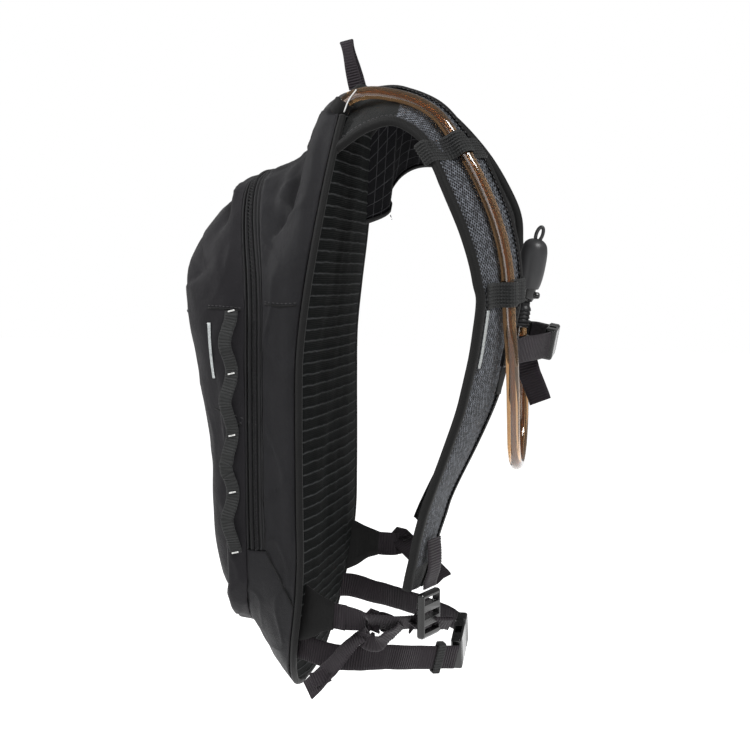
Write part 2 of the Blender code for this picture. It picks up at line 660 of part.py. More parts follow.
# ---------------------------------------------------------------- side release buckles
def buckle(name, centre, along, up, height):
    """A female half on the wearer's right, a male half with two squeeze arms on the left."""
    along = along.normalized()
    up = (up - along * up.dot(along)).normalized()
    out = up.cross(along)
    if out.y < 0:
        out = -out
    axes = (along, out, up)
    thick = 0.0085
    wall = 0.0016

    def at(a, o=0.0, u=0.0):
        return centre + along * a + out * o + up * u

    female = block(f"{name}_buckle_female", (0.0300, thick, height), at(0.0020), "plastic", axes,
                   bevel=0.0012)
    inside = cutter_block(f"{name}_mouth", (0.0260, thick - 2 * wall, height - 0.0076),
                          at(-0.0052), axes)
    windows = [
        cutter_block(f"{name}_window_{k}", (0.0105, thick - 2 * wall, 0.0080),
                     at(0.0005, 0.0, sign * (height / 2 - 0.0028)), axes)
        for k, sign in enumerate((-1, 1))
    ]
    slot = cutter_block(f"{name}_web_slot", (0.0030, thick + 0.004, height - 0.0050),
                        at(0.0125), axes)
    cut(female, inside, *windows, slot)

    male = block(f"{name}_buckle_male", (0.0125, thick, height), at(-0.0198), "plastic", axes,
                 bevel=0.0012)
    slot = cutter_block(f"{name}_male_slot", (0.0030, thick + 0.004, height - 0.0050),
                        at(-0.0215), axes)
    tongue = block(f"{name}_tongue", (0.0190, 0.0034, 0.0040), at(-0.0057), "plastic", axes)
    cut(male, slot)
    join(male, tongue)
    for label, sign in (("upper", 1), ("lower", -1)):
        block(f"{name}_squeeze_arm_{label}", (0.0168, 0.0044, 0.0030),
              at(-0.0048, 0.0, sign * (height / 2 - 0.0064)), "plastic", axes, bevel=0.0006)


# ---------------------------------------------------------------- lower straps and hip belt
LOCK_CENTRES = {"right": Vector((0.0985, 0.0895, -0.0885)), "left": Vector((0.0985, 0.0645, -0.0830))}
WING_CLEAR = {"right": 0.0, "left": 0.0032}    # the left wing sits higher, where the panel is wider
LOOP_REACH = {"right": 0.0370, "left": 0.0190}
ANCHOR_HEIGHTS = {"right": -0.0945, "left": -0.0840}
LOCK_AXES = (Vector((0.93, -0.37, 0.0)), Vector((0.37, 0.93, 0.0)), Vector((0.0, 0.0, 1.0)))


def ladder_lock(name, side):
    """A ladder lock: a frame with three bars, whose webbing slots are open."""
    across, out, up = (flip(v, side) for v in LOCK_AXES)
    axes = (across, out, up) if side > 0 else (-across, out, up)
    middle = flip(LOCK_CENTRES[name], side)
    frame = block(f"ladder_lock_{name}", (0.0270, 0.0060, 0.0340), middle, "plastic", axes,
                  bevel=0.0015)
    slots = [
        cutter_block(f"lock_slot_{name}_{k}", (0.0210, 0.0100, 0.0050), middle + up * height, axes)
        for k, height in enumerate((0.0110, 0.0005, -0.0100))
    ]
    cut(frame, *slots)


def lower_straps():
    for name, side in (("right", 1), ("left", -1)):
        ladder_lock(name, side)
        across, out, up = (flip(v, side) for v in LOCK_AXES)
        lock = flip(LOCK_CENTRES[name], side)
        top = lock + up * 0.0200 + out * 0.0008
        reach = LOOP_REACH[name]
        loop = [top + up * reach + out * 0.0036, top + up * reach * 0.6 + out * 0.0042,
                top + up * reach * 0.3 + out * 0.0032, top]
        ribbon(f"lock_loop_{name}", [tuple(p) for p in smooth([tuple(p) for p in loop], 7)],
               [across] * 7, [0.0095] * 7, "webbing")
        low = lock - up * 0.0105
        level = ANCHOR_HEIGHTS[name]
        reach = low.y - 0.0170
        run = [
            tuple(flip(Vector((0.0970, 0.0170, level)), side)),
            tuple(flip(Vector((0.0990, 0.0170 + 0.28 * reach, level - 0.0015)), side)),
            tuple(flip(Vector((0.1000, 0.0170 + 0.54 * reach, level - 0.0015)), side)),
            tuple(low - out * 0.0110 + up * 0.0008),
            tuple(low - out * 0.0042),
        ]
        path = smooth(run, 10)
        turns = [Vector((0.0, 0.0, 1.0)).lerp(across, ease((k - 4) / 4.0) * 0.9) for k in range(10)]
        widths = [WEB_WIDTH / 2 - 0.0002] * 10
        webbing = ribbon(f"lower_webbing_{name}", path, turns, widths, "webbing")
        clear = WING_CLEAR[name]
        wing = [
            (Vector((0.1070 + clear, -0.0125, level + 0.0015)), 0.0200),
            (Vector((0.1048 + clear, -0.0040, level + 0.0010)), 0.0170),
            (Vector((0.1005, 0.0070, level + 0.0003)), 0.0125),
            (Vector((0.0975, 0.0190, level - 0.0002)), 0.0098),
        ]
        sewn = ribbon(f"anchor_wing_{name}", [tuple(flip(p, side)) for p, _ in wing],
                      [(0, 0, 1)] * 4, [half for _, half in wing], "shell", thickness=0.0026)
        join(webbing, sewn)


HIP_CENTRE = Vector((0.0, 0.1000, -0.1400))
HIP_ALONG = Vector((1.0, 0.0, -0.28)).normalized()
HIP_UP = Vector((0.28, 0.0, 1.0)).normalized()


def hip_belt():
    ends = {
        "right": (HIP_CENTRE + HIP_ALONG * 0.0200, 1),
        "left": (HIP_CENTRE - HIP_ALONG * 0.0280, -1),
    }
    routes = {
        "right": ((0.0935, -0.0080, -0.1280), (0.0900, 0.0080, -0.1290), (0.0820, 0.0270, -0.1310),
                  (0.0660, 0.0480, -0.1340), (0.0450, 0.0700, -0.1400)),
        "left": ((-0.0935, -0.0080, -0.1280), (-0.0920, 0.0090, -0.1270), (-0.0840, 0.0270, -0.1260),
                 (-0.0660, 0.0520, -0.1270), (-0.0480, 0.0750, -0.1285)),
    }
    for name, route in routes.items():
        end, side = ends[name]
        path = smooth([*route, tuple(end)], 14)
        turns = [Vector((0.0, 0.0, 1.0)).lerp(HIP_UP, ease(k / 13.0)) for k in range(14)]
        ribbon(f"hip_webbing_{name}", path, turns, [WEB_WIDTH / 2] * 14, "webbing")
    buckle("hip", HIP_CENTRE, HIP_ALONG, HIP_UP, 0.0270)

    path = smooth([*routes["right"], tuple(ends["right"][0])], 41)
    keeper = Vector(path[35])
    along = Vector(path[37] - path[33]).normalized()
    up = Vector((0.0, 0.0, 1.0)).lerp(HIP_UP, ease(35 / 40.0))
    up = (up - along * up.dot(along)).normalized()
    axes = (along, up.cross(along), up)
    slider = block("belt_keeper", (0.0070, 0.0062, 0.0260), keeper, "elastic", axes, bevel=0.0008)
    cut(slider, cutter_block("keeper_slot", (0.0200, 0.0040, 0.0214), keeper, axes))

    tail = smooth([(0.0970, 0.0400, -0.1090), (0.0990, 0.0300, -0.1165), (0.1010, 0.0200, -0.1280),
                   (0.1005, 0.0090, -0.1410), (0.0980, -0.0010, -0.1530)], 8)
    ribbon("belt_tail", tail, [Vector((0.70, 0.55, 0.20))] * 8, [WEB_WIDTH / 2 - 0.0015] * 8, "webbing")


# ---------------------------------------------------------------- haul loop, zips, front trim
DAISY_DEPTH = -0.0575
DAISY_LEAN = 0.12
DAISY_INSET = 0.985
DAISY_GAP = 0.0024
DAISY_TOP = 0.133
DAISY_LENGTH = 0.180


LOOP_PIVOT = (0.0, 0.0190, 0.2950)


def haul_loop():
    """Webbing folded to a narrow upright loop, sewn in at the top seam."""
    lean = Vector((0.0, -0.240, 0.970)).normalized()
    base = Vector(LOOP_PIVOT) + lean * 0.0012
    path = []
    half = 0.0085
    height = 0.0370
    for k in range(13):
        angle = math.pi * k / 12.0
        bow = math.cos(angle) * half * (1.0 - 0.35 * math.sin(angle))
        path.append(tuple(base + Vector((bow, 0, 0)) + lean * (height * math.sin(angle) ** 0.75)))
    widths = [0.0072] * 13
    ribbon("haul_loop", path, [Vector((0.0, 0.970, 0.240))] * 13, widths, "webbing", thickness=0.0018)


def zip_sliders():
    """Two sliders that meet on the left run of the main zip, each with a pull."""
    for name, height in (("upper", 0.0400), ("lower", 0.0120)):
        body = Vector((-0.1085, -0.0395, height))
        block(f"zip_slider_{name}", (0.0034, 0.0090, 0.0120), body, "metal", bevel=0.0006)
        block(f"zip_pull_{name}", (0.0022, 0.0060, 0.0260), body + Vector((-0.0040, 0.0, -0.0100)),
              "rubber", bevel=0.0007)


def front_surface(x, height, out=0.0):
    """A point on the front shell's face, standing out from it."""
    dome = 0.0185 * (abs(x) / 0.100) ** 2
    return Vector((x, front_depth(height) + dome - out, height))


def front_trim():
    """The stretch pocket and the two daisy chains beside it."""
    rows = []
    for height in np.linspace(-0.055, 0.128, 8):
        row = [front_surface(x, float(height), 0.0040) for x in np.linspace(-0.062, 0.062, 7)]
        rows.append(row)
    skin("stash_pocket", [list(reversed(row)) for row in rows], "front", 0.0012)
    heights, halves = zip(*SHIELD)
    for name, side in (("right", 1), ("left", -1)):
        path = []
        for k in range(25):
            height = DAISY_TOP - DAISY_LENGTH * k / 24.0
            wave = 0.0016 * (1.0 - math.cos(2.0 * math.pi * k / 6.0))
            half = float(np.interp(height, heights, halves)) * DAISY_INSET
            path.append((side * (half + DAISY_GAP + wave), DAISY_DEPTH, height))
        across = [(DAISY_LEAN * side, 1.0, 0.0)] * 25
        ribbon(f"daisy_chain_{name}", path, across, [0.0075] * 25, "webbing")


# ---------------------------------------------------------------- tube and bite valve
def drinking_tube():
    tube("drinking_tube", smooth(TUBE_ROUTE, 60), TUBE_DIAMETER / 2, "tube")
    up = VALVE_AXIS
    base = Vector(TUBE_ROUTE[-1]) + up * 0.0008
    barb = ((0, 0.0190), (0.0036, 0.0190), (0.0036, 0.0150), (0.0052, 0.0148), (0.0052, 0.0125),
            (0.0040, 0.0120), (0.0040, 0.0100), (0.0052, 0.0095), (0.0052, 0.0072), (0.0060, 0.0070),
            (0.0060, 0.0), (0, 0.0))
    turned("barb_fitting", barb, "rubber", base, up, steps=16)
    valve = ((0, 0.0190), (0.0058, 0.0190), (0.0064, 0.0160), (0.0064, 0.0040), (0.0050, 0.0),
             (0, 0.0))
    body = turned("valve_body", valve, "plastic", base + up * 0.0193, up, steps=16)
    lever = base + up * 0.0237 + Vector((0.0, 0.0075, 0.0))
    join(body, block("valve_lever", (0.0050, 0.0050, 0.0060), lever, "plastic"))
    nipple = ((0, 0.0180), (0.0046, 0.0180), (0.0060, 0.0130), (0.0060, 0.0050), (0.0042, 0.0),
              (0, 0.0))
    turned("bite_nipple", nipple, "rubber", base + up * 0.0386, up, steps=16)
    cover = ((0, 0.0400), (0.0030, 0.0392), (0.0070, 0.0340), (0.0098, 0.0240), (0.0104, 0.0130),
             (0.0092, 0.0030), (0.0080, 0.0), (0.0070, 0.0), (0.0072, 0.0120), (0.0072, 0.0300),
             (0.0030, 0.0335), (0, 0.0340))
    turned("dust_cover", cover, "rubber", base + up * 0.0297, up, steps=20)


VALVE_AXIS = Vector((0.0, 0.16, 0.987)).normalized()

clear_scene()
PARTS = collection("hydration_pack")
CUTTERS = collection("cutters")
body_shells()
back_panel()
reservoir()
shoulder_straps()
sternum()
lower_straps()
hip_belt()
haul_loop()
zip_sliders()
front_trim()
drinking_tube()
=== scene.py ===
"""The looks of a slim hydration pack: fabric, webbing, straps, tube and hardware over its fixed frame.

Frame: +X is the wearer's right, +Y points forward to the wearer's back, +Z is up. Metres.
"""

import math

import bpy
import numpy as np
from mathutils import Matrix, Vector, noise


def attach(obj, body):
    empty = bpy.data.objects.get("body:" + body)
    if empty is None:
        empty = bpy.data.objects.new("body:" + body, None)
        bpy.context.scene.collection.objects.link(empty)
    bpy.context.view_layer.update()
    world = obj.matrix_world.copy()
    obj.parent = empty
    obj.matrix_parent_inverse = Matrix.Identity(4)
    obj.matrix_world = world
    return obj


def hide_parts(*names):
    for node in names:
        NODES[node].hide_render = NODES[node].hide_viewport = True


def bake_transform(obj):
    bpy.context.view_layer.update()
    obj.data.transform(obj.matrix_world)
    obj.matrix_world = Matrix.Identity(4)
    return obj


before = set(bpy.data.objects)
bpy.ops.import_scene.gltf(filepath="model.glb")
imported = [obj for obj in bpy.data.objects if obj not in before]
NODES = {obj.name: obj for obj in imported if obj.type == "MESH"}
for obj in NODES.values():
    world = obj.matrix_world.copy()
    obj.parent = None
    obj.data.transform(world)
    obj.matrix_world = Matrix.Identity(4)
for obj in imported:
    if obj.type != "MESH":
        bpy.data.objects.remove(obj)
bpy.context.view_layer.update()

# ---------------------------------------------------------------- sizes shared with the CAD
MIDDLE = np.array((0.0, -0.03, 0.06))
UP = Vector((0.0, 0.0, 1.0))
SIDES = (("right", 1), ("left", -1))
EDGE_DROP = 0.003        # how far the back panel's edge falls away
PANEL_BEND = 0.030       # half the length over which the back panel bends, at the shoulders and the hips
BEND_ABOVE, SLOPE_ABOVE = 0.105, 0.145
BEND_BELOW, SLOPE_BELOW = -0.070, -0.18
STRAP_THICK = 0.0052
WEB_HALF = 0.010
WEB_THICK = 0.0016
TUBE_DIAMETER = 0.0095
# the back panel's outline: height and half width
SHIELD = (
    (-0.165, 0.030), (-0.158, 0.052), (-0.145, 0.070), (-0.120, 0.087), (-0.088, 0.0975),
    (-0.055, 0.1025), (-0.020, 0.105), (0.020, 0.106), (0.060, 0.106), (0.100, 0.1055),
    (0.140, 0.104), (0.175, 0.100), (0.210, 0.091), (0.245, 0.0775), (0.268, 0.065),
    (0.282, 0.052), (0.289, 0.036),
)
SHIELD_FOOT = SHIELD[0][0]
SHIELD_TOP = SHIELD[-1][0]
LOOP = 2 * len(SHIELD)   # points in a ring round the pack
SHOULDER = 0.14          # rings keep the panel's heights between the hips and the shoulders
HIPS = -0.05
# the front face down the middle: height and depth
FRONT_FACE = (
    (-0.118, -0.060), (-0.106, -0.074), (-0.079, -0.081), (-0.023, -0.086), (0.017, -0.0845),
    (0.068, -0.0925), (0.130, -0.103), (0.157, -0.1062), (0.181, -0.102), (0.212, -0.079),
    (0.227, -0.066), (0.234, -0.056),
)
# stations down each shoulder strap, drawn on the right: centre, half width, way across
STRAPS = {
    "right": (
        ((0.0535, 0.0150, 0.2660), 0.0310, (0.80, 0.00, -0.60)),
        ((0.0550, 0.0315, 0.2760), 0.0300, (0.83, 0.00, -0.55)),
        ((0.0560, 0.0420, 0.2800), 0.0300, (0.86, 0.00, -0.50)),
        ((0.0600, 0.0610, 0.2815), 0.0300, (0.90, 0.00, -0.42)),
        ((0.0690, 0.0820, 0.2720), 0.0290, (0.92, -0.06, -0.38)),
        ((0.0780, 0.1000, 0.2500), 0.0290, (0.94, -0.14, -0.30)),
        ((0.0830, 0.1150, 0.2240), 0.0290, (0.94, -0.24, -0.22)),
        ((0.0850, 0.1270, 0.1960), 0.0290, (0.95, -0.27, -0.15)),
        ((0.0865, 0.1355, 0.1610), 0.0290, (0.97, -0.24, -0.06)),
        ((0.0870, 0.1350, 0.1260), 0.0290, (0.985, -0.16, 0.00)),
        ((0.0880, 0.1290, 0.0930), 0.0290, (0.99, -0.13, 0.00)),
        ((0.0900, 0.1210, 0.0620), 0.0290, (0.993, -0.12, 0.00)),
        ((0.0930, 0.1110, 0.0350), 0.0290, (0.993, -0.12, 0.00)),
        ((0.0960, 0.1000, 0.0080), 0.0280, (0.993, -0.12, 0.00)),
        ((0.0980, 0.0910, -0.0190), 0.0250, (0.985, -0.17, 0.00)),
        ((0.0990, 0.0840, -0.0460), 0.0190, (0.97, -0.24, 0.00)),
        ((0.1000, 0.0780, -0.0690), 0.0115, (0.93, -0.37, 0.00)),
    ),
    "left": (
        ((0.0540, -0.0270, 0.2060), 0.0300, (0.50, -0.12, -0.86)),
        ((0.0600, 0.0130, 0.2260), 0.0440, (0.52, -0.15, -0.84)),
        ((0.0650, 0.0255, 0.2370), 0.0530, (0.54, -0.15, -0.83)),
        ((0.0695, 0.0340, 0.2515), 0.0535, (0.66, -0.20, -0.72)),
        ((0.0710, 0.0450, 0.2610), 0.0505, (0.72, -0.22, -0.66)),
        ((0.0720, 0.0580, 0.2625), 0.0440, (0.76, -0.21, -0.60)),
        ((0.0750, 0.0725, 0.2590), 0.0400, (0.80, -0.20, -0.55)),
        ((0.0790, 0.0890, 0.2485), 0.0355, (0.84, -0.20, -0.50)),
        ((0.0840, 0.1080, 0.2275), 0.0325, (0.86, -0.24, -0.44)),
        ((0.0870, 0.1235, 0.2020), 0.0330, (0.88, -0.25, -0.36)),
        ((0.0880, 0.1330, 0.1680), 0.0310, (0.95, -0.22, -0.15)),
        ((0.0880, 0.1350, 0.1330), 0.0300, (0.98, -0.16, -0.03)),
        ((0.0885, 0.1290, 0.0980), 0.0290, (0.99, -0.13, 0.00)),
        ((0.0905, 0.1170, 0.0640), 0.0290, (0.993, -0.12, 0.00)),
        ((0.0935, 0.1020, 0.0320), 0.0290, (0.993, -0.12, 0.00)),
        ((0.0965, 0.0860, 0.0030), 0.0280, (0.993, -0.12, 0.00)),
        ((0.0985, 0.0720, -0.0220), 0.0240, (0.985, -0.17, 0.00)),
        ((0.0995, 0.0610, -0.0450), 0.0180, (0.97, -0.24, 0.00)),
        ((0.1000, 0.0530, -0.0640), 0.0115, (0.93, -0.37, 0.00)),
    ),
}
KEEPERS = {"upper": 0.245, "lower": 0.492}      # share of the way down the right strap
KEEPER_HALF = 0.009
TUBE_ROUTE = (
    (0.0560, 0.0145, 0.2780), (0.0560, 0.0177, 0.2825), (0.0562, 0.0222, 0.2870),
    (0.0568, 0.0290, 0.2900), (0.0583, 0.0370, 0.2912), (0.0610, 0.0460, 0.2910),
    (0.0640, 0.0545, 0.2897), (0.0677, 0.0655, 0.2874), (0.0720, 0.0780, 0.2828),
    (0.0771, 0.0912, 0.2744), (0.0822, 0.1052, 0.2570), (0.0843, 0.1165, 0.2400),
    (0.0857, 0.1258, 0.2225), (0.0868, 0.1344, 0.2023), (0.0883, 0.1407, 0.1812),
    (0.0887, 0.1439, 0.1635), (0.0886, 0.1449, 0.1455), (0.0885, 0.1459, 0.1250),
    (0.0880, 0.1476, 0.1050), (0.0868, 0.1486, 0.0800), (0.0845, 0.1490, 0.0550),
    (0.0793, 0.1490, 0.0355), (0.0650, 0.1490, 0.0212), (0.0455, 0.1490, 0.0160),
    (0.0260, 0.1490, 0.0212), (0.0117, 0.1490, 0.0355), (0.0065, 0.1490, 0.0550),
    (0.0060, 0.1478, 0.0760), (0.0060, 0.1459, 0.1010), (0.0060, 0.1471, 0.1150),
)
PORT_CENTRE = Vector((0.056, 0.0160, 0.2802))
PORT_AXIS = Vector((0.0, 0.57, 0.82)).normalized()
VALVE_AXIS = Vector((0.0, 0.16, 0.987)).normalized()
STERNUM_AXIS = Vector((0.0, 0.180, 0.984)).normalized()
RAIL_POINT = Vector((0.0652, 0.1412, 0.1030))
RAIL_HALF = 0.0325
LOCK_CENTRES = {"right": Vector((0.0985, 0.0895, -0.0885)), "left": Vector((0.0985, 0.0645, -0.0830))}
LOCK_AXES = (Vector((0.93, -0.37, 0.0)), Vector((0.37, 0.93, 0.0)), UP)      # across, out and up
LOOP_REACH = {"right": 0.0370, "left": 0.0190}
ANCHOR_HEIGHTS = {"right": -0.0945, "left": -0.0840}
HIP_CENTRE = Vector((0.0, 0.1000, -0.1400))
HIP_ALONG = Vector((1.0, 0.0, -0.28)).normalized()
HIP_UP = Vector((0.28, 0.0, 1.0)).normalized()
LOOP_PIVOT = Vector((0.0, 0.0190, 0.2950))
BELT_TAIL = (
    (0.0970, 0.0400, -0.1090), (0.0990, 0.0300, -0.1165), (0.1010, 0.0200, -0.1280),
    (0.1005, 0.0090, -0.1410), (0.0980, -0.0010, -0.1530),
)

# ---------------------------------------------------------------- sizes of the looks alone
CLOTH_THICK = 0.0010
NYLON_THREAD = 0.00055
RIB_PITCH = 0.0021       # one rib of the webbing
RIB_STEP = 0.0083        # one rib of the back mesh
RIB_TILT = 0.075         # how far the back mesh ribs fall towards the wearer's left
PIPING_RADIUS = 0.0027
PORT_CLEAR = 0.0095      # the piping stops this far from the port's centre
SEAM_RADIUS = 0.00075    # the bottom panel's raised seam
EDGE_RADIUS = 0.00065    # the raised edge of the other seams
STITCH_GAP = 0.0018      # from that edge to its stitches
HEM_RADIUS = 0.0016
BORE_RADIUS = 0.0013
STATIONS = 190           # steps down a shoulder strap
STRAP_ROLL = 0.20        # how far the right strap's face turns towards the neck
STRAP_EASE = 0.0022      # how far that face spreads past the bound edge's line
KEEPER_SLANT = {"upper": 0.45, "lower": 0.0}
# each strap's side, first bound station, and the start and end of its reflective strip
STRAP_SIDES = (("right", 1.0, 0, 0.512, 0.615), ("left", -1.0, 11, 0.470, 0.580))
POCKET_HALF = 0.062
FACE_HALF = 0.100        # at this far to the side, the face lies back by its curve
FACE_CURVE = 0.0185
DAISY_DEPTH = -0.0575
DAISY_LEAN = 0.12
DAISY_TOP = 0.133
DAISY_LENGTH = 0.180
DAISY_LOOPS = 4
LENS = 80.0
CAMERA_TURN = 10.0       # degrees from the wearer's right towards the front
CAMERA_PITCH = 7.69      # degrees down
CAMERA_DISTANCE = 1.3
CAMERA_SHIFT = 0.032
CAMERA_HEIGHT = 0.2496
SURROUND = 0.24          # how much of the white surround lights the object
FLOOR = -0.62
FLOOR_HALF = 6
# name, place, target, size in metres, power in watts
LAMPS = (
    ("key", (0.9, 1.2, 1.7), (0.0, 0.03, 0.08), 0.9, 64.0),
    ("rim", (0.4, -1.5, 1.1), (0.0, -0.03, 0.10), 0.5, 38.0),
    ("fill", (1.9, -0.5, 0.3), (0.0, 0.0, 0.05), 1.0, 9.0),
)


# ---------------------------------------------------------------- curves and grids
def unit(vectors):
    return vectors / np.maximum(np.linalg.norm(vectors, axis=-1, keepdims=True), 1e-12)


def mileage(points):
    """How far along a run of points each one lies; in a grid, by the mean of its lines."""
    steps = np.linalg.norm(np.diff(points, axis=0), axis=-1)
    return np.concatenate([[0.0], np.cumsum(steps if steps.ndim == 1 else steps.mean(axis=1))])


def run_length(points):
    """The whole length of a run of points."""
    return float(np.linalg.norm(np.diff(np.asarray(points)[:, :3], axis=0), axis=1).sum())


def round_angles(count):
    """Even angles once round a circle."""
    return np.linspace(0.0, 2.0 * math.pi, count, endpoint=False)


def spline(rows, params):
    """A smooth curve or surface through rows, read at parameters counted in rows."""
    rows = np.asarray(rows, float)
    flat = rows.reshape(len(rows), -1)
    chord = mileage(rows.reshape(len(rows), -1, 3))
    slopes = np.gradient(flat, chord, axis=0)
    at = np.interp(params, np.arange(len(rows)), chord)
    span = np.clip(np.searchsorted(chord, at, side="right") - 1, 0, len(rows) - 2)
    width = (chord[span + 1] - chord[span])[:, None]
    t = (at - chord[span])[:, None] / width
    out = (
        (2 * t**3 - 3 * t**2 + 1) * flat[span]
        + (t**3 - 2 * t**2 + t) * width * slopes[span]
        + (3 * t**2 - 2 * t**3) * flat[span + 1]
        + (t**3 - t**2) * width * slopes[span + 1]
    )
    return out.reshape((len(at),) + rows.shape[1:])


def across_spline(grid, count):
    """The same rows, each read at count even parameters."""
    return np.swapaxes(spline(np.swapaxes(grid, 0, 1), np.linspace(0.0, grid.shape[1] - 1.0, count)), 0, 1)


def even(points, count):
    """Points at even steps along a smooth curve; columns after the third are carried along."""
    points = np.asarray(points, float)
    padded = np.pad(points, ((0, 0), (0, -points.shape[1] % 3)))
    fine = spline(padded, np.linspace(0, len(points) - 1, 30 * len(points)))[:, : points.shape[1]]
    length = mileage(fine[:, :3])
    stops = np.linspace(0.0, length[-1], count)
    return np.stack([np.interp(stops, length, column) for column in fine.T], axis=1)


def outward(grid):
    """The way out of the pack at each point of a grid."""
    ways = unit(np.cross(np.gradient(grid, axis=1), np.gradient(grid, axis=0)))
    return ways * np.sign((ways * (grid - MIDDLE)).sum(axis=-1).mean())


def fractal(point, scale, seed, octaves=3):
    spot = Vector(point) * scale + Vector((seed * 7.3, seed * 1.9, -seed * 4.1))
    return noise.fractal(spot, 0.9, 2.0, octaves)


def placed(name, data):
    """A new object in the scene."""
    thing = bpy.data.objects.new(name, data)
    bpy.context.scene.collection.objects.link(thing)
    return thing


def grid_piece(name, grid, material, closed=False, caps=False, thickness=0.0, offset=0.0,
               pick=None, materials=()):
    """A mesh through a grid of points, with its own lengths in metres as the UV map."""
    grid = np.asarray(grid, float)
    rows, columns = grid.shape[:2]
    wrap = columns if closed else columns - 1
    faces = []
    for i in range(rows - 1):
        for j in range(wrap):
            n = (j + 1) % columns
            faces.append((i * columns + j, i * columns + n, (i + 1) * columns + n, (i + 1) * columns + j))
    quads = len(faces)
    if caps:
        faces.append(tuple(reversed(range(columns))))
        faces.append(tuple((rows - 1) * columns + j for j in range(columns)))
    mesh = bpy.data.meshes.new(name)
    mesh.from_pydata([tuple(p) for p in grid.reshape(-1, 3)], [], faces)
    along = mileage(grid)
    across = mileage(np.swapaxes(np.concatenate([grid, grid[:, :1]], axis=1) if closed else grid, 0, 1))
    uv = mesh.uv_layers.new(name="cloth")
    corner_at = 0
    for index, face in enumerate(faces):
        for corner, vertex in enumerate(face):
            i, j = divmod(vertex, columns)
            if closed and index < quads and corner in (1, 2) and j == 0:
                j = columns
            uv.data[corner_at].uv = (across[j], along[i])
            corner_at += 1
    thing = placed(name, mesh)
    for each in (material, *materials):
        mesh.materials.append(each)
    if pick:
        for i in range(rows - 1):
            for j in range(wrap):
                mesh.polygons[i * wrap + j].material_index = pick(i / (rows - 1), j / max(wrap - 1, 1))
    mesh.shade_smooth()
    if thickness:
        solid = thing.modifiers.new("thickness", "SOLIDIFY")
        solid.thickness = thickness
        solid.offset = offset
    return thing


def finish_piece(thing, body, slot, *replaced):
    """Name what a piece rides with; given two bodies and two points instead, the piece is only fixed where
    it stands.
    """
    if isinstance(body, str):
        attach(thing, body)
    else:
        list(body)
        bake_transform(thing)
    if replaced:
        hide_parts(*replaced)
    return thing


def fabric(name, grid, look, slot, *replaced, thickness=CLOTH_THICK):
    """A sheet of fabric on the pack, half its thickness to each side of the grid."""
    sheet = grid_piece(name, np.array(grid), MATERIALS[look], thickness=thickness)
    return finish_piece(sheet, "pack", slot, *replaced)


def rope(name, points, radius, look, sides=10, radii=None, cyclic=False):
    """A round cord through points, as a lofted mesh."""
    points = np.asarray(points, float)
    ahead = unit(np.roll(points, -1, axis=0) - np.roll(points, 1, axis=0) if cyclic
                 else np.gradient(points, axis=0))
    side = np.zeros_like(points)
    last = np.cross(ahead[0], (0.31, 0.17, 0.93))
    for k, direction in enumerate(ahead):
        last = last - direction * np.dot(last, direction)
        last = last / np.linalg.norm(last)
        side[k] = last
    up = np.cross(ahead, side)
    angles = round_angles(sides)[None, :, None]
    rays = side[:, None] * np.cos(angles) + up[:, None] * np.sin(angles)
    size = np.full(len(points), radius) if radii is None else np.asarray(radii)
    grid = points[:, None] + size[:, None, None] * rays
    if cyclic:
        grid = np.concatenate([grid, grid[:1]])
    return grid_piece(name, grid, MATERIALS[look], closed=True, caps=not cyclic)


def cord(name, points, radius, look="binding", slot="binding", body="pack", **shape):
    """A finished round cord, on the pack unless told otherwise."""
    return finish_piece(rope(name, points, radius, look, **shape), body, slot)


def lathe(name, profile, look, base, axis, steps=40, caps=True):
    """A turned piece: radius and height along the axis from the base."""
    turn = UP.rotation_difference(Vector(axis)).to_matrix()
    grid = [[tuple(Vector(base) + turn @ Vector((radius * math.cos(a), radius * math.sin(a), height)))
             for a in round_angles(steps)] for radius, height in profile]
    return grid_piece(name, grid, MATERIALS[look], closed=True, caps=caps)


def rounded(profile, radius):
    """A profile with its corners rounded."""
    out = [profile[0]]
    for corner in zip(profile, profile[1:], profile[2:]):
        a, b, c = (np.array(p, float) for p in corner)
        start, end = (b + unit(p - b) * min(radius, 0.45 * np.linalg.norm(p - b)) for p in (a, c))
        for t in np.linspace(0.0, 1.0, 4):
            out.append(tuple((1 - t) ** 2 * start + 2 * t * (1 - t) * b + t**2 * end))
    out.append(profile[-1])
    return out


# ---------------------------------------------------------------- materials
class Shade:
    """A value in a material's node tree that is added and multiplied like a number."""

    def __init__(self, tree, socket):
        self.tree = tree
        self.socket = socket

    def run(self, operation, *others):
        """The value put through one math node with the others."""
        node = self.tree.nodes.new("ShaderNodeMath")
        node.operation = operation
        for socket, value in zip(node.inputs, (self, *others)):
            feed(value, socket)
        return Shade(self.tree, node.outputs[0])

    def __add__(self, other):
        return self.run("ADD", other)

    def __sub__(self, other):
        return self.run("SUBTRACT", other)

    def __mul__(self, other):
        return self.run("MULTIPLY", other)

    def line(self, slope, level):
        """Slope times the value, and a level on top."""
        return self.run("MULTIPLY_ADD", slope, level)

    def capped(self, softness):
        """The value up to one, rounded off near it."""
        return self.run("SMOOTH_MIN", 1.0, softness)

    def wave(self, pitch):
        """A wave from 0 to 1 that repeats every pitch metres."""
        return self.line(2.0 * math.pi / pitch, 0.0).run("SINE").line(0.5, 0.5)


def feed(value, socket):
    """Put a colour, a number or another node's value on a socket."""
    if isinstance(value, Shade):
        value.tree.links.new(value.socket, socket)
    elif isinstance(value, tuple):
        socket.default_value = (*value, 1.0)
    else:
        socket.default_value = value


def tinted(colour, factor):
    return tuple(min(c * factor, 1.0) for c in colour)


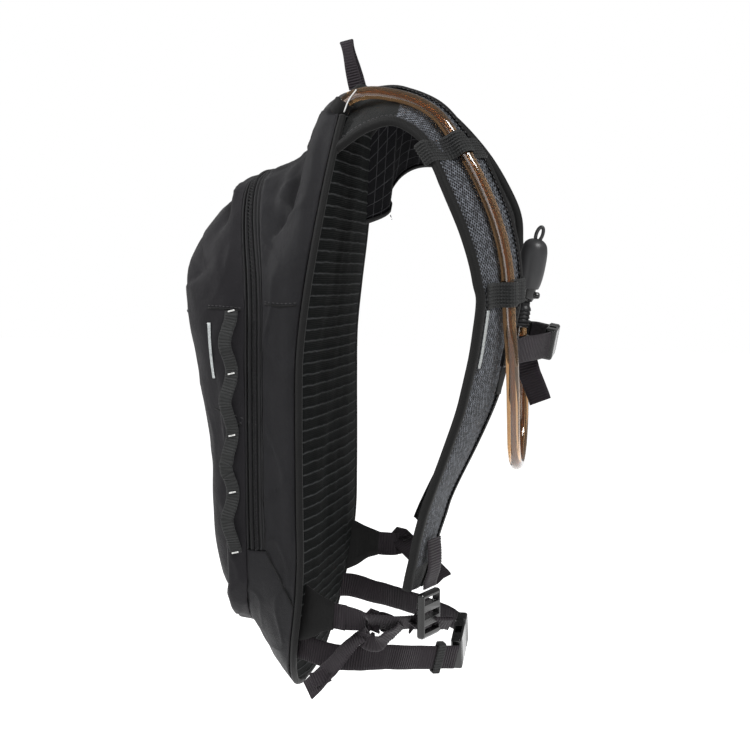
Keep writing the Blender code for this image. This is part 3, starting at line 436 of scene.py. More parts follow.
class Look:
    """A material in the making: its node tree and its surface shader."""

    def __init__(self, name):
        self.made = bpy.data.materials.new(name)
        self.made.use_nodes = True
        self.shader = self.made.node_tree.nodes["Principled BSDF"]

    def add(self, kind, output, sockets=(), **settings):
        """One output of a new node with the given sockets and settings."""
        tree = self.made.node_tree
        node = tree.nodes.new(kind)
        for key, value in settings.items():
            setattr(node, key, value)
        for key, value in dict(sockets).items():
            feed(value, node.inputs[key])
        return Shade(tree, node.outputs[output])

    def cloth(self):
        """The piece's own lengths in metres: across it, and along it."""
        uv = self.add("ShaderNodeUVMap", 0, uv_map="cloth")
        return (self.add("ShaderNodeSeparateXYZ", axis, {"Vector": uv}) for axis in (0, 1))

    def place(self):
        return self.add("ShaderNodeTexCoord", "Object")

    def cloud(self, scale, detail=3.0, roughness=0.6):
        """Soft noise from 0 to 1."""
        sockets = {"Scale": scale, "Detail": detail, "Roughness": roughness, "Vector": self.place()}
        return self.add("ShaderNodeTexNoise", "Fac", sockets)

    def mix(self, share, low, high):
        return self.add("ShaderNodeMix", "Result", {"Factor": share, "A": low, "B": high}, data_type="RGBA")

    def shaded(self, share, colour, low, high):
        """The colour from a darker to a lighter tint of itself."""
        return self.mix(share, tinted(colour, low), tinted(colour, high))

    def bump(self, height, distance, strength, under=None):
        """Fine relief, over the relief under it if there is one."""
        sockets = {"Distance": distance, "Strength": strength, "Height": height}
        if under:
            sockets["Normal"] = under
        relief = self.add("ShaderNodeBump", 0, sockets)
        feed(relief, self.shader.inputs["Normal"])
        return relief

    def surface(self, **sockets):
        """The finished material, once its shader's sockets are set."""
        for key, value in sockets.items():
            feed(value, self.shader.inputs[key.replace("_", " ")])
        return self.made


def nylon(name, colour, roughness=0.62):
    """Coated plain-weave nylon: fine threads, soft creases and a dusty sheen."""
    look = Look(name)
    across, along = look.cloth()
    weave = across.wave(NYLON_THREAD) * along.wave(NYLON_THREAD)
    dust = look.cloud(14.0, 5.0, 0.7)
    soft = look.bump(look.cloud(46.0, 4.0), 0.0024, 0.55)
    look.bump(weave, 0.00012, 0.6, soft)
    return look.surface(Base_Color=look.shaded(weave.line(0.30, dust * 0.55), colour, 0.62, 1.45),
                        Roughness=dust.line(0.22, roughness - 0.10), Sheen_Weight=0.05,
                        Sheen_Roughness=0.45, Specular_IOR_Level=0.14)


def ribbed(name, colour, pitch=RIB_PITCH, sheen=0.15, depth=0.00025):
    """Nylon webbing or elastic: ribs across its length over a diagonal twill."""
    look = Look(name)
    across, along = look.cloth()
    ribs = along.wave(pitch)
    twill = (across + along).wave(0.0009)
    fuzz = look.cloud(900.0, 2.0)
    tone = ribs * 0.55 + look.cloud(30.0, 4.0) * 0.35
    look.bump(ribs + (twill * 0.35 + fuzz * 0.2), depth, 0.8)
    return look.surface(Base_Color=look.shaded(tone, colour, 0.45, 1.5), Roughness=0.66, Sheen_Weight=sheen,
                        Sheen_Roughness=0.5, Specular_IOR_Level=0.12)


def spacer(name, thread, hole, pitch):
    """Three-dimensional mesh: threads round small diamond holes."""
    look = Look(name)
    across, along = look.cloth()
    slanted = along * 0.8
    holes = (((across + slanted).wave(pitch) * (across - slanted).wave(pitch)) * 2.4).capped(0.2)
    bright = look.cloud(420.0, 4.0).line(3.4, -1.35).run("MAXIMUM", 0.0).capped(0.1)
    look.bump(holes.line(-1.0, 1.0), 0.0005, 0.9)
    return look.surface(Base_Color=look.mix(holes, look.shaded(bright, thread, 0.35, 2.3), hole),
                        Roughness=0.8, Sheen_Weight=0.06, Specular_IOR_Level=0.12)


def lined_mesh(name, base, ribs, pitch_along, pitch_across=None, share=0.11):
    """Dark net with thin lighter ribs across it, and finer ones along it if asked."""
    look = Look(name)
    across, along = look.cloth()
    wobble = (look.cloud(70.0) - 0.5) * 0.0022

    def stripes(length, pitch, width):
        off = ((length + wobble).run("DIVIDE", pitch).run("FRACT") - 0.5).run("ABSOLUTE")
        return off.line(-1.0 / width, 1.0).run("MAXIMUM", 0.0).capped(0.05)

    lines = stripes(along, pitch_along, share)
    if pitch_across:
        lines = lines.run("MAXIMUM", stripes(across, pitch_across, share * 0.8))
    net = across.wave(0.0016) * along.wave(0.0014)
    patchy = lines * look.cloud(120.0).line(1.1, 0.1)
    look.bump(lines * 1.5 - net * 0.6, 0.0006, 0.8)
    return look.surface(Base_Color=look.mix(patchy, look.shaded(net, base, 1.6, 0.35), ribs),
                        Roughness=0.85, Specular_IOR_Level=0.045)


def moulded(name, colour, roughness, specular, coat=0.0, grain=0.00008):
    """Moulded plastic or rubber: an uneven gloss and a faint grain."""
    look = Look(name)
    scuffs = look.cloud(120.0, 5.0, 0.65)
    look.bump(look.cloud(2400.0, 2.0), grain, 0.5)
    return look.surface(Base_Color=look.shaded(scuffs, colour, 0.75, 1.35),
                        Roughness=scuffs.line(0.16, roughness - 0.06), Coat_Weight=coat,
                        Specular_IOR_Level=specular)


def clear(name, colour, roughness, transmission):
    """Clear tinted tubing or film with faint streaks."""
    look = Look(name)
    return look.surface(Base_Color=look.shaded(look.cloud(35.0), colour, 0.72, 1.2), Roughness=roughness,
                        Transmission_Weight=transmission, IOR=1.45, Coat_Weight=0.6)


def glass_bead(name):
    """Silver reflective tape: fine beads in a faint honeycomb."""
    look = Look(name)
    cells = look.add("ShaderNodeTexVoronoi", "Distance", {"Scale": 520.0, "Vector": look.place()},
                     feature="DISTANCE_TO_EDGE")
    edge = (cells * 9.0).capped(0.1)
    look.bump(edge, 0.0001, 0.6)
    return look.surface(Base_Color=look.mix(edge, (0.16, 0.17, 0.17), (0.34, 0.36, 0.36)),
                        Roughness=0.38, Metallic=0.25)


MATERIALS = {
    "shell": nylon("body_nylon", (0.0068, 0.0066, 0.0078)),
    "front": nylon("front_nylon", (0.0056, 0.0050, 0.0064), 0.66),
    "bottom": nylon("bottom_nylon", (0.0058, 0.0056, 0.0068), 0.58),
    "root": nylon("strap_root", (0.0060, 0.0066, 0.0066), 0.60),
    "foam": nylon("foam_lining", (0.045, 0.045, 0.047), 0.9),
    "pocket": ribbed("pocket_stretch", (0.0050, 0.0046, 0.0055), 0.0014, 0.05, 0.00012),
    "lane": ribbed("zip_lane", (0.0095, 0.0094, 0.0102), 0.0016, 0.05, 0.0003),
    "binding": ribbed("binding_tape", (0.0040, 0.0040, 0.0040), 0.0012, 0.04, 0.00012),
    "webbing": ribbed("webbing_nylon", (0.0130, 0.0100, 0.0125), sheen=0.08),
    "elastic": ribbed("ribbed_elastic", (0.0150, 0.0155, 0.0155), 0.0023, 0.06, 0.0004),
    "thread": ribbed("white_thread", (0.50, 0.50, 0.49), 0.0008, depth=0.0001),
    "stitch": ribbed("dark_thread", (0.045, 0.044, 0.046), 0.0008, depth=0.0001),
    "back": lined_mesh("back_mesh_face", (0.0014, 0.0018, 0.0017), (0.052, 0.054, 0.055), RIB_STEP),
    "under": lined_mesh("strap_lining", (0.0032, 0.0032, 0.0038), (0.06, 0.06, 0.064), 0.0105, 0.0085,
                        0.07),
    "face": spacer("strap_spacer", (0.068, 0.073, 0.083), (0.0010, 0.0010, 0.0012), 0.0027),
    "silver": glass_bead("reflective_tape"),
    "plastic": moulded("gloss_acetal", (0.004, 0.004, 0.004), 0.22, 0.4, coat=0.15),
    "rubber": moulded("satin_rubber", (0.009, 0.009, 0.0095), 0.42, 0.25, grain=0.00012),
    "cover": moulded("soft_cover", (0.020, 0.020, 0.021), 0.38, 0.3, grain=0.0001),
    "metal": moulded("dark_die_cast", (0.10, 0.10, 0.105), 0.32, 0.8),
    "tube": clear("amber_tube", (0.46, 0.27, 0.13), 0.03, 0.96),
    "bore": clear("amber_bore", (0.22, 0.085, 0.02), 0.15, 0.4),
    "bladder": clear("water_film", (0.55, 0.72, 0.80), 0.25, 0.6),
}


# ---------------------------------------------------------------- body
def panel_depth(height):
    """How far forward the back panel lies: it bends away above the shoulders and below the hips."""
    depth = 0.0
    for run, slope in ((height - BEND_ABOVE, SLOPE_ABOVE), (BEND_BELOW - height, SLOPE_BELOW)):
        if run > PANEL_BEND:
            depth += slope * run
        elif run > -PANEL_BEND:
            depth += slope * (run + PANEL_BEND) ** 2 / (4.0 * PANEL_BEND)
    return depth


def front_depth(height):
    """How far back the middle of the front face lies."""
    heights, depths = zip(*FRONT_FACE)
    return float(np.interp(height, heights, depths))


def ease(share):
    """A smooth step from 0 to 1."""
    share = min(max(share, 0.0), 1.0)
    return share * share * (3.0 - 2.0 * share)


def ring(top, side, foot, grow=0.0, width=1.0, squeeze=1.0, front=None, panel=False):
    """A loop round the pack, up its right side and down its left, as in the CAD."""
    right = []
    for height, half in SHIELD:
        z = height
        y = side
        for start, end, goal in ((SHOULDER, SHIELD_TOP, top), (HIPS, SHIELD_FOOT, foot)):
            share = (height - start) / (end - start)
            if share > 0.0:
                z = start + share * (goal[1] - start)
                y = side + ease(share) * (goal[0] - side)
        z = MIDDLE[2] + (z - MIDDLE[2]) * squeeze
        if front is not None:
            y = front_depth(z) + front
        if panel:
            y = panel_depth(height) - EDGE_DROP + side
        right.append((half * width, y, z))
    loop = np.array(right + [(-x, y, z) for x, y, z in reversed(right)])
    if grow:
        ahead = np.roll(loop, -1, axis=0) - np.roll(loop, 1, axis=0)
        loop += unit(np.stack([ahead[:, 2], np.zeros(len(loop)), -ahead[:, 0]], axis=1)) * grow
    return loop


GUSSET_RINGS = (
    dict(top=(0, SHIELD_TOP), side=-0.0055, foot=(0, SHIELD_FOOT), grow=0.0024, panel=True),
    dict(top=(0.001, 0.277), side=-0.0150, foot=(-0.030, -0.157), grow=0.0020),
    dict(top=(-0.009, 0.252), side=-0.0210, foot=(-0.036, -0.148), grow=0.0015),
    dict(top=(-0.026, 0.2375), side=-0.0270, foot=(-0.042, -0.138), grow=0.0005),
    dict(top=(-0.043, 0.2320), side=-0.0325, foot=(-0.047, -0.128)),
    dict(top=(-0.0565, 0.2275), side=-0.0465, foot=(-0.0520, -0.118), width=0.99),
)
FRONT_RINGS = (
    dict(top=(-0.0570, 0.2273), side=-0.0468, foot=(-0.0523, -0.1175), width=0.99),
    dict(top=(-0.0640, 0.2230), side=-0.0600, foot=(-0.0640, -0.1130), width=0.985),
    dict(top=(0, 0.2225), side=0, foot=(0, -0.1130), width=0.94, squeeze=0.985, front=0.026),
    *(dict(top=(0, 0.2290), side=0, foot=(0, -0.1130), width=width, squeeze=squeeze, front=front)
      for width, squeeze, front in ((0.85, 0.93, 0.0135), (0.54, 0.72, 0.0050), (0.22, 0.48, 0.0),
                                    (0.004, 0.36, -0.0002))),
)
SEAM_BACK, SEAM_FRONT = 4.0, 5.25      # where the bottom seam meets the panel edge and the zip lane
LANE_ROW = 4                            # the zip lane runs between this ring and the next
LOOP_END = LOOP - 1
SEAM_GAP = 0.02                         # how far a cover stops from a seam, in steps round a ring

# folds and dents in the fabric: two ends as depth and height, width, how deep, and the side
FOLDS = (
    ((-0.008, 0.247), (-0.016, 0.209), 0.0048, 0.0062, 0),
    ((-0.016, 0.209), (-0.026, 0.190), 0.0050, 0.0048, 0),
    ((-0.026, 0.190), (-0.030, 0.168), 0.0040, 0.0016, 0),
    ((-0.002, 0.262), (-0.006, 0.170), 0.0060, -0.0020, 0),
    ((-0.020, 0.236), (-0.026, 0.205), 0.0045, -0.0024, 0),
    ((-0.004, 0.170), (-0.010, 0.060), 0.0050, 0.0014, 0),
    ((-0.018, 0.150), (-0.021, 0.070), 0.0045, 0.0012, 0),
    ((-0.010, 0.100), (-0.016, -0.040), 0.0060, -0.0012, 0),
    ((-0.022, 0.030), (-0.019, -0.060), 0.0045, 0.0012, 0),
    ((-0.088, 0.186), (-0.0775, 0.163), 0.0036, 0.0034, 1),
    ((-0.0775, 0.163), (-0.094, 0.151), 0.0038, 0.0040, 1),
    ((-0.072, 0.180), (-0.066, 0.150), 0.0050, -0.0016, 1),
    ((-0.084, 0.172), (-0.094, 0.163), 0.0050, -0.0020, 1),
    ((-0.060, 0.215), (-0.078, 0.178), 0.0045, 0.0018, 0),
    ((-0.055, 0.120), (-0.075, 0.128), 0.0040, 0.0012, 0),
    ((-0.056, 0.060), (-0.062, -0.020), 0.0050, 0.0014, 0),
    ((-0.060, -0.030), (-0.076, -0.060), 0.0045, 0.0020, -1),
    ((-0.050, 0.020), (-0.072, 0.040), 0.0050, 0.0018, -1),
)
PLEAT = 0.003            # deeper folds have one steep side


def creased(grid, normals, strength=1.0, seed=1.0):
    """Fabric relief: soft hollows between seams, long ripples and the listed folds."""
    moved = grid.copy()
    for index in np.ndindex(grid.shape[:2]):
        x, y, z = grid[index]
        ripple = 0.0016 * fractal((x * 0.8, y, z * 0.35), 30.0, seed)
        ridge = 1.0 - min(abs(fractal((x, y, z * 0.55), 27.0, seed + 3.0, 2)) * 5.0, 1.0)
        moved[index] += normals[index] * (ripple + 0.0011 * ridge * ridge) * strength
    spots = grid[..., 1:3]
    for start, end, width, deep, side in FOLDS:
        run = np.array(end) - start
        t = np.clip(((spots - start) @ run) / (run @ run), 0.0, 1.0)
        off = np.linalg.norm(spots - (start + t[..., None] * run), axis=-1)
        fade = np.exp(-((off / width) ** 2))
        if deep > PLEAT:
            turned = run[1] * (spots[..., 0] - start[0]) - run[0] * (spots[..., 1] - start[1])
            slow, steep = np.exp(-off / (2.2 * width)), np.exp(-((off / (0.35 * width)) ** 2))
            fade = np.where(turned * np.sign(run[1]) < 0, slow, steep)
        fade = fade * (0.35 + 0.65 * np.sin(math.pi * np.clip(t, 0.04, 0.96)))
        if side:
            fade = fade * (np.sign(grid[..., 0]) == side)
        moved -= normals * (fade * deep)[..., None]
    return moved


def seam(row):
    """Where the bottom panel's seam crosses a ring, counted in steps round it."""
    return SEAM_BACK + (SEAM_FRONT - SEAM_BACK) * min(row / LANE_ROW, 1.0)


def band(rings, first, last, reach, rows, columns):
    """Rows across a stretch of rings, each read between the two stops that reach gives."""
    return np.array([spline(spline(rings, [row])[0], np.linspace(*reach(row), columns))
                     for row in np.linspace(first, last, rows)])


def body_covers():
    rings = np.array([np.concatenate([loop, loop[:12]]) for loop in (ring(**s) for s in GUSSET_RINGS)])

    grid = band(rings, 0.0, LANE_ROW, lambda row: (seam(row) + SEAM_GAP, LOOP_END - seam(row) - SEAM_GAP),
                rows=30, columns=320)
    normals = outward(grid)
    belly = np.sin(np.linspace(0.0, math.pi, len(grid)))[:, None, None]
    grid = creased(grid + normals * belly * 0.0012, normals)
    fabric("gusset_cover", grid, "shell", "shell", "rear_gusset")
    for side in (1, -1):
        seam_line(f"gusset_seam_{side + 1}", grid, normals,
                  ((-0.0310, 0.1385), (-0.0180, 0.1375), (-0.0070, 0.1380)), side)

    grid = band(rings, 0.0, LANE_ROW + 1.0,
                lambda row: (LOOP_END - seam(row) + SEAM_GAP, LOOP + seam(row) - SEAM_GAP),
                rows=34, columns=200)
    fabric("bottom_cover", creased(grid, outward(grid), 0.8, 5.0), "bottom", "shell", "bottom_panel")

    zip_lane(rings)
    front_cover()
    for name, reach in (("right", seam), ("left", lambda row: LOOP_END - seam(row))):
        line = band(rings, 0.0, LANE_ROW, lambda row: (reach(row),) * 2, rows=30, columns=1)[:, 0]
        cord(f"bottom_seam_{name}", line + unit(line - MIDDLE) * 0.0006, SEAM_RADIUS, sides=8)


def zip_lane(rings):
    """The zip's lane: a deep groove at the front edge, then ridges of tape and coil."""
    shares = np.linspace(0.0, 1.0, 33)
    grid = band(rings, LANE_ROW + 0.02, LANE_ROW + 0.98, lambda row: (SEAM_FRONT, LOOP_END - SEAM_FRONT),
                rows=len(shares), columns=330)
    normals = outward(grid)
    relief = 0.0010 * np.cos(2.0 * math.pi * shares * 4.0) - 0.0004
    for height, at, width in ((0.0012, 0.10, 0.05), (-0.0030, 0.93, 0.045), (-0.0016, 0.02, 0.03)):
        relief += height * np.exp(-(((shares - at) / width) ** 2))
    grid = grid + normals * relief[:, None, None]
    fabric("zip_lane_cover", grid, "lane", "binding", "main_zip_tape", thickness=0.0008)
    middle = len(shares) // 2
    path = even(grid[middle] + normals[middle] * 0.0004, 420)
    side = unit(np.cross(unit(np.gradient(path, axis=0)), unit(path - MIDDLE)))
    side[::2] *= -1.0
    cord("zip_coil", path + side * 0.0011, 0.00055, "lane", "plastic", sides=6)


def front_cover():
    rings = np.array([ring(**s) for s in FRONT_RINGS])
    foot = (rings[:, :1] + rings[:, -1:]) / 2.0
    rings = np.concatenate([foot, rings, foot], axis=1)
    grid = across_spline(spline(rings, np.linspace(0.0, len(rings) - 1.0, 64)), 330)
    normals = outward(grid)
    fade = np.linspace(0.0, 1.0, len(grid))[:, None, None]
    sag = 0.0022 * np.sin(math.pi * np.clip(fade * 1.6, 0.0, 1.0))
    grid = creased(grid + normals * sag, normals * (1.0 - 0.7 * fade), 1.0, 2.0)
    fabric("front_cover", grid, "front", "front", "front_shell")
    front_trim(grid, outward(grid))


def stitches(name, path, outs, pitch=0.0036, length=0.0024, radius=0.00026):
    """A row of stitches lying on a path: each a thread that dips into the fabric at both ends."""
    count = max(int(run_length(path) / pitch), 2)
    packed = even(np.concatenate([path, outs], axis=1), count * 3)
    points = []
    faces = []
    for k in range(count):
        here, out = packed[3 * k, :3], packed[3 * k, 3:6]
        ahead = unit(packed[min(3 * k + 2, len(packed) - 1), :3] - here)
        side = unit(np.cross(ahead, out))
        first = len(points)
        for share, lift in ((0.0, 0.0), (0.25, 1.0), (0.75, 1.0), (1.0, 0.0)):
            for angle in round_angles(6):
                ray = (side * math.cos(angle) + out * math.sin(angle)) * (0.45 + 0.55 * lift)
                points.append(here + ahead * length * share + (out * lift + ray) * radius)
        for low in range(first, first + 18, 6):
            for c in range(6):
                n = (c + 1) % 6
                faces.append((low + c, low + n, low + 6 + n, low + 6 + c))
        faces.append(tuple(range(first + 5, first - 1, -1)))
        faces.append(tuple(range(first + 18, first + 24)))
    mesh = bpy.data.meshes.new(name)
    mesh.from_pydata([tuple(p) for p in points], [], faces)
    mesh.uv_layers.new(name="cloth")
    mesh.materials.append(MATERIALS["stitch"])
    mesh.shade_smooth()
    return finish_piece(placed(name, mesh), "pack", "binding")


def laid(grid, normals, spots, side, lift=0.0):
    """Points on a cover at the given depths and heights, on one side, with the way out there."""
    spots = [(y, z, 0.0) for y, z in spots]
    depth_height = even(spots, max(6, int(run_length(spots) / 0.003)))
    here = np.sign(grid[..., 0]) == side
    flat, ways = grid[here], normals[here]
    points, outs = [], []
    for y, z, _ in depth_height:
        off = (flat[:, 1] - y) ** 2 + (flat[:, 2] - z) ** 2
        near = np.argsort(off)[:5]
        weight = 1.0 / (off[near] + 1e-8)
        weight = weight / weight.sum()
        points.append((float(flat[near, 0] @ weight), y, z))
        outs.append(unit(weight @ ways[near]))
    points, outs = np.array(points), np.array(outs)
    windows = [slice(max(0, k - 3), k + 4) for k in range(len(points))]
    middles = np.array([np.median(points[window, 0]) for window in windows])
    for k in np.nonzero(np.abs(points[:, 0] - middles) > 0.0025)[0]:
        points[k, 0] = middles[k]
        outs[k] = unit(np.median(outs[windows[k]], axis=0))
    return points + outs * lift, outs


def seam_line(name, grid, normals, spots, side):
    """A seam: a fine raised edge and a row of stitches beside it."""
    cord(f"{name}_edge", laid(grid, normals, spots, side, 0.0006)[0], EDGE_RADIUS, sides=6)
    beside = [(y, z + STITCH_GAP) for y, z in spots]
    points, outs = laid(grid, normals, beside, side, 0.0005)
    stitches(f"{name}_stitch", points, outs, 0.0028, length=0.0018, radius=0.00020)


def back_mesh():
    """The mesh over the back panel, with ribs that fall towards the wearer's left, and its piping."""
    fine = spline([(h, w, 0.0) for h, w in SHIELD], np.linspace(0, len(SHIELD) - 1, 900))
    rows = []
    for height in np.linspace(SHIELD_FOOT, SHIELD_TOP, 330):
        half = float(np.interp(height, fine[:, 0], fine[:, 1]))
        row = []
        for share in np.linspace(1.0, -1.0, 46):
            x = half * share
            drop = EDGE_DROP * max(0.0, (abs(share) - 0.52) / 0.48) ** 1.5
            rib = 0.0008 * math.exp(-((((height - RIB_TILT * x) / RIB_STEP) % 1.0 - 0.5) / 0.12) ** 2)
            rib *= 1.0 - abs(share) ** 6
            sag = 0.0010 * fractal((x, 0.0, height * 0.6), 26.0, 9.0) * (1.0 - abs(share) ** 4)
            row.append((x, panel_depth(height) - drop + rib + sag - 0.0006, height))
        rows.append(row)
    mesh = grid_piece("back_mesh_cover", rows, MATERIALS["back"], thickness=0.0008, offset=-1.0)
    for loop in mesh.data.loops:
        x, _, z = mesh.data.vertices[loop.vertex_index].co
        mesh.data.uv_layers["cloth"].data[loop.index].uv = (x, z - RIB_TILT * x)
    finish_piece(mesh, "pack", "mesh", "back_mesh")

    loop = ring(top=(0, SHIELD_TOP), side=-0.0022, foot=(0, SHIELD_FOOT), grow=0.0026, panel=True)
    fine = spline(np.concatenate([loop, loop[:1]]), np.linspace(0.0, LOOP, 700))
    clear_of = np.linalg.norm(fine - np.array(PORT_CENTRE), axis=1) > PORT_CLEAR
    start = int(np.argmax(~clear_of)) + int((~clear_of).sum())
    run = np.concatenate([fine[start:-1], fine[:start]])
    run = run[np.linalg.norm(run - np.array(PORT_CENTRE), axis=1) > PORT_CLEAR]
    piping = rope("piping_cover", even(run, 560), PIPING_RADIUS, "binding", sides=12)
    finish_piece(piping, "pack", "binding", "panel_piping")


# ---------------------------------------------------------------- webbing
def webbing(name, path, turns, half, body="pack", slot="webbing", material="webbing", replaced=(),
            thick=WEB_THICK, pitch=RIB_PITCH, ribs=0.00020, wander=0.0, seed=0.0, halves=None):
    """A strip of woven webbing along a path, its ribs and selvedges in the mesh."""
    turns = np.asarray([tuple(t) for t in turns], float)
    if len(turns) == 1:
        turns = np.repeat(turns, len(path), axis=0)
    widths = np.full((len(path), 1), half) if halves is None else np.asarray(halves, float)[:, None]
    packed = np.concatenate([np.asarray(path, float), turns, widths], axis=1)
    count = int(run_length(even(path, 60)) / (pitch / 6.0 if ribs else 0.002)) + 2
    rows = even(packed, count)
    ahead = unit(np.gradient(rows[:, :3], axis=0))
    side = rows[:, 3:6]
    side = unit(side - ahead * (side * ahead).sum(axis=1, keepdims=True))
    out = np.cross(side, ahead)
    lengths = mileage(rows[:, :3])
    shares = (-1.0, -0.985, -0.9, -0.6, -0.3, 0.0, 0.3, 0.6, 0.9, 0.985, 1.0)
    grid = []
    for k in range(count):
        rib = ribs * math.cos(2.0 * math.pi * lengths[k] / pitch)
        centre = rows[k, :3]
        if wander:
            centre = centre + out[k] * wander * fractal(centre, 40.0, seed)
        row = []
        for face in (1.0, -1.0):
            for share in shares if face > 0 else reversed(shares):
                edge = 1.0 - 0.75 * max(0.0, abs(share) - 0.9) / 0.1
                lift = face * (thick / 2.0 * edge + (rib if abs(share) < 0.93 else 0.0))
                bow = wander * 0.6 * (share**2) * fractal(centre, 25.0, seed + 2.0)
                row.append(centre + side[k] * rows[k, 6] * share + out[k] * (lift + bow))
        grid.append(row)
    strip = grid_piece(name, grid, MATERIALS[material], closed=True, caps=True)
    return finish_piece(strip, body, slot, *replaced)


def tape(name, path, turns, half, material="silver", thick=0.0006, ribs=0.0, **shape):
    """A thin strip sewn flat on the fabric."""
    return webbing(name, path, turns, half, slot="binding", material=material, thick=thick, ribs=ribs,
                   **shape)


def flip(vector, side):
    """A place or a way on the right, taken to the given side."""
    return Vector((vector[0] * side, vector[1], vector[2]))


def sternum():
    """The chest strap: its rails, both halves and the spare tail."""
    across = Vector((0.93, -0.38, 0.0))
    across = (across - STERNUM_AXIS * across.dot(STERNUM_AXIS)).normalized()
    for name, side in SIDES:
        ends = [flip(RAIL_POINT, side) + STERNUM_AXIS * RAIL_HALF * s for s in (-1.0, -0.3, 0.3, 1.0)]
        webbing(f"rail_cover_{name}", ends, [flip(across, side)], 0.0040, ribs=0.0,
                replaced=(f"sternum_rail_{name}",), thick=0.0018, material="binding")
    out = STERNUM_AXIS.cross(across)
    start = RAIL_POINT + out * math.copysign(0.0065, out.y)
    route = [tuple(start), (0.0550, 0.1530, 0.1030), (0.0420, 0.1605, 0.1030), (0.0300, 0.1660, 0.1030),
             (0.0180, 0.1690, 0.1030)]
    webbing("sternum_strap_right", route, [STERNUM_AXIS], WEB_HALF, "sternum_right",
            replaced=("sternum_webbing_right",), wander=0.0006, seed=1.0)
    left = [(-x, y, z) for x, y, z in (*route[:3], (0.0340, 0.1648, 0.1030), (0.0275, 0.1668, 0.1030))]
    bend = ("sternum_left", "sternum_male", (-0.052, 0.155, 0.103), (-0.030, 0.166, 0.103))
    webbing("sternum_strap_left", left, [STERNUM_AXIS], WEB_HALF, bend,
            replaced=("sternum_webbing_left",), wander=0.0006, seed=2.0)
    tail = [(0.0215, 0.1500, 0.0985), (0.0225, 0.1530, 0.0895), (0.0235, 0.1560, 0.0800),
            (0.0245, 0.1600, 0.0700), (0.0255, 0.1640, 0.0600)]
    webbing("sternum_tail_cover", tail, [(0.25, 0.95, 0.18)], WEB_HALF - 0.001, "sternum_right",
            replaced=("sternum_tail",), wander=0.0010, seed=3.0)


def haul_loop():
    """The webbing loop at the crown."""
    lean = Vector((0.0, -0.240, 0.970)).normalized()
    base = LOOP_PIVOT + lean * 0.0012
    path = []
    halves = []
    for angle in np.linspace(0.0, math.pi, 25):
        bow = math.cos(angle) * 0.0085 * (1.0 - 0.35 * math.sin(angle))
        path.append(tuple(base + Vector((bow, 0, 0)) + lean * (0.0370 * math.sin(angle) ** 0.75)))
        halves.append(0.0054 - 0.0012 * math.sin(2.0 * angle) ** 2)
    bend = ("pack", "haul_loop", tuple(LOOP_PIVOT - lean * 0.0010), tuple(LOOP_PIVOT + lean * 0.0130))
    webbing("haul_loop_cover", path, [(0.0, 0.970, 0.240)], 0.0070, bend, replaced=("haul_loop",),
            thick=0.0018, wander=0.0006, seed=4.0, halves=halves)


def lower_straps():
    """Each side's ladder lock loop, its strap down to the anchor wing, and the spare webbing."""
    for name, side in SIDES:
        across, out, up = (flip(v, side) for v in LOCK_AXES)
        lock = flip(LOCK_CENTRES[name], side)
        top = lock + up * 0.0200 + out * 0.0008
        reach = LOOP_REACH[name]
        loop = [tuple(top + up * reach * share + out * lift)
                for share, lift in ((1.0, 0.0036), (0.6, 0.0042), (0.3, 0.0032), (0.0, 0.0))]
        webbing(f"lock_loop_cover_{name}", loop, [across], 0.0095, replaced=(f"lock_loop_{name}",),
                wander=0.0012, seed=6.0 + side)
        low = lock - up * 0.0105
        level = ANCHOR_HEIGHTS[name]
        reach = low.y - 0.0170
        run = [flip((0.0940, 0.0040, level + 0.0010), side),
               flip((0.0990, 0.0170 + 0.28 * reach, level - 0.0015), side),
               flip((0.1000, 0.0170 + 0.54 * reach, level - 0.0015), side),
               low - out * 0.0110 + up * 0.0008, low - out * 0.0042]
        path = even([tuple(p) for p in run], 10)
        shares = [0.55 * ease((k - 1) / 5.0) + 0.35 * ease((k - 7) / 2.0) for k in range(len(path))]
        turns = [UP.lerp(across, share) for share in shares]
        bend = ("pack", f"lock_{name}", tuple(path[5]), tuple(path[9]))
        webbing(f"lower_strap_cover_{name}", path, turns, WEB_HALF - 0.0002, bend,
                replaced=(f"lower_webbing_{name}",), wander=0.0012, seed=8.0 + side)
        wing = ((0.0870, -0.0130, level), (0.0915, -0.0010, level), (0.0950, 0.0090, level),
                (0.0972, 0.0180, level - 0.0008))
        webbing(f"anchor_wing_{name}", [tuple(flip(p, side)) for p in wing], [(0, 0, 1)], WEB_HALF,
                slot="shell", material="binding", thick=0.0030, ribs=0.0,
                halves=(0.0240, 0.0195, 0.0135, 0.0102), wander=0.0010, seed=3.0 + side)
    bight = [(0.0965, 0.0690, -0.0990), (0.0990, 0.0600, -0.1070), (0.1000, 0.0500, -0.1130),
             (0.0990, 0.0420, -0.1100), (0.0970, 0.0430, -0.1020), (0.0955, 0.0520, -0.0975),
             (0.0965, 0.0610, -0.1000)]
    webbing("adjuster_bight", bight, [(0.30, 0.55, 0.78)], 0.0085, wander=0.0016, seed=21.0)


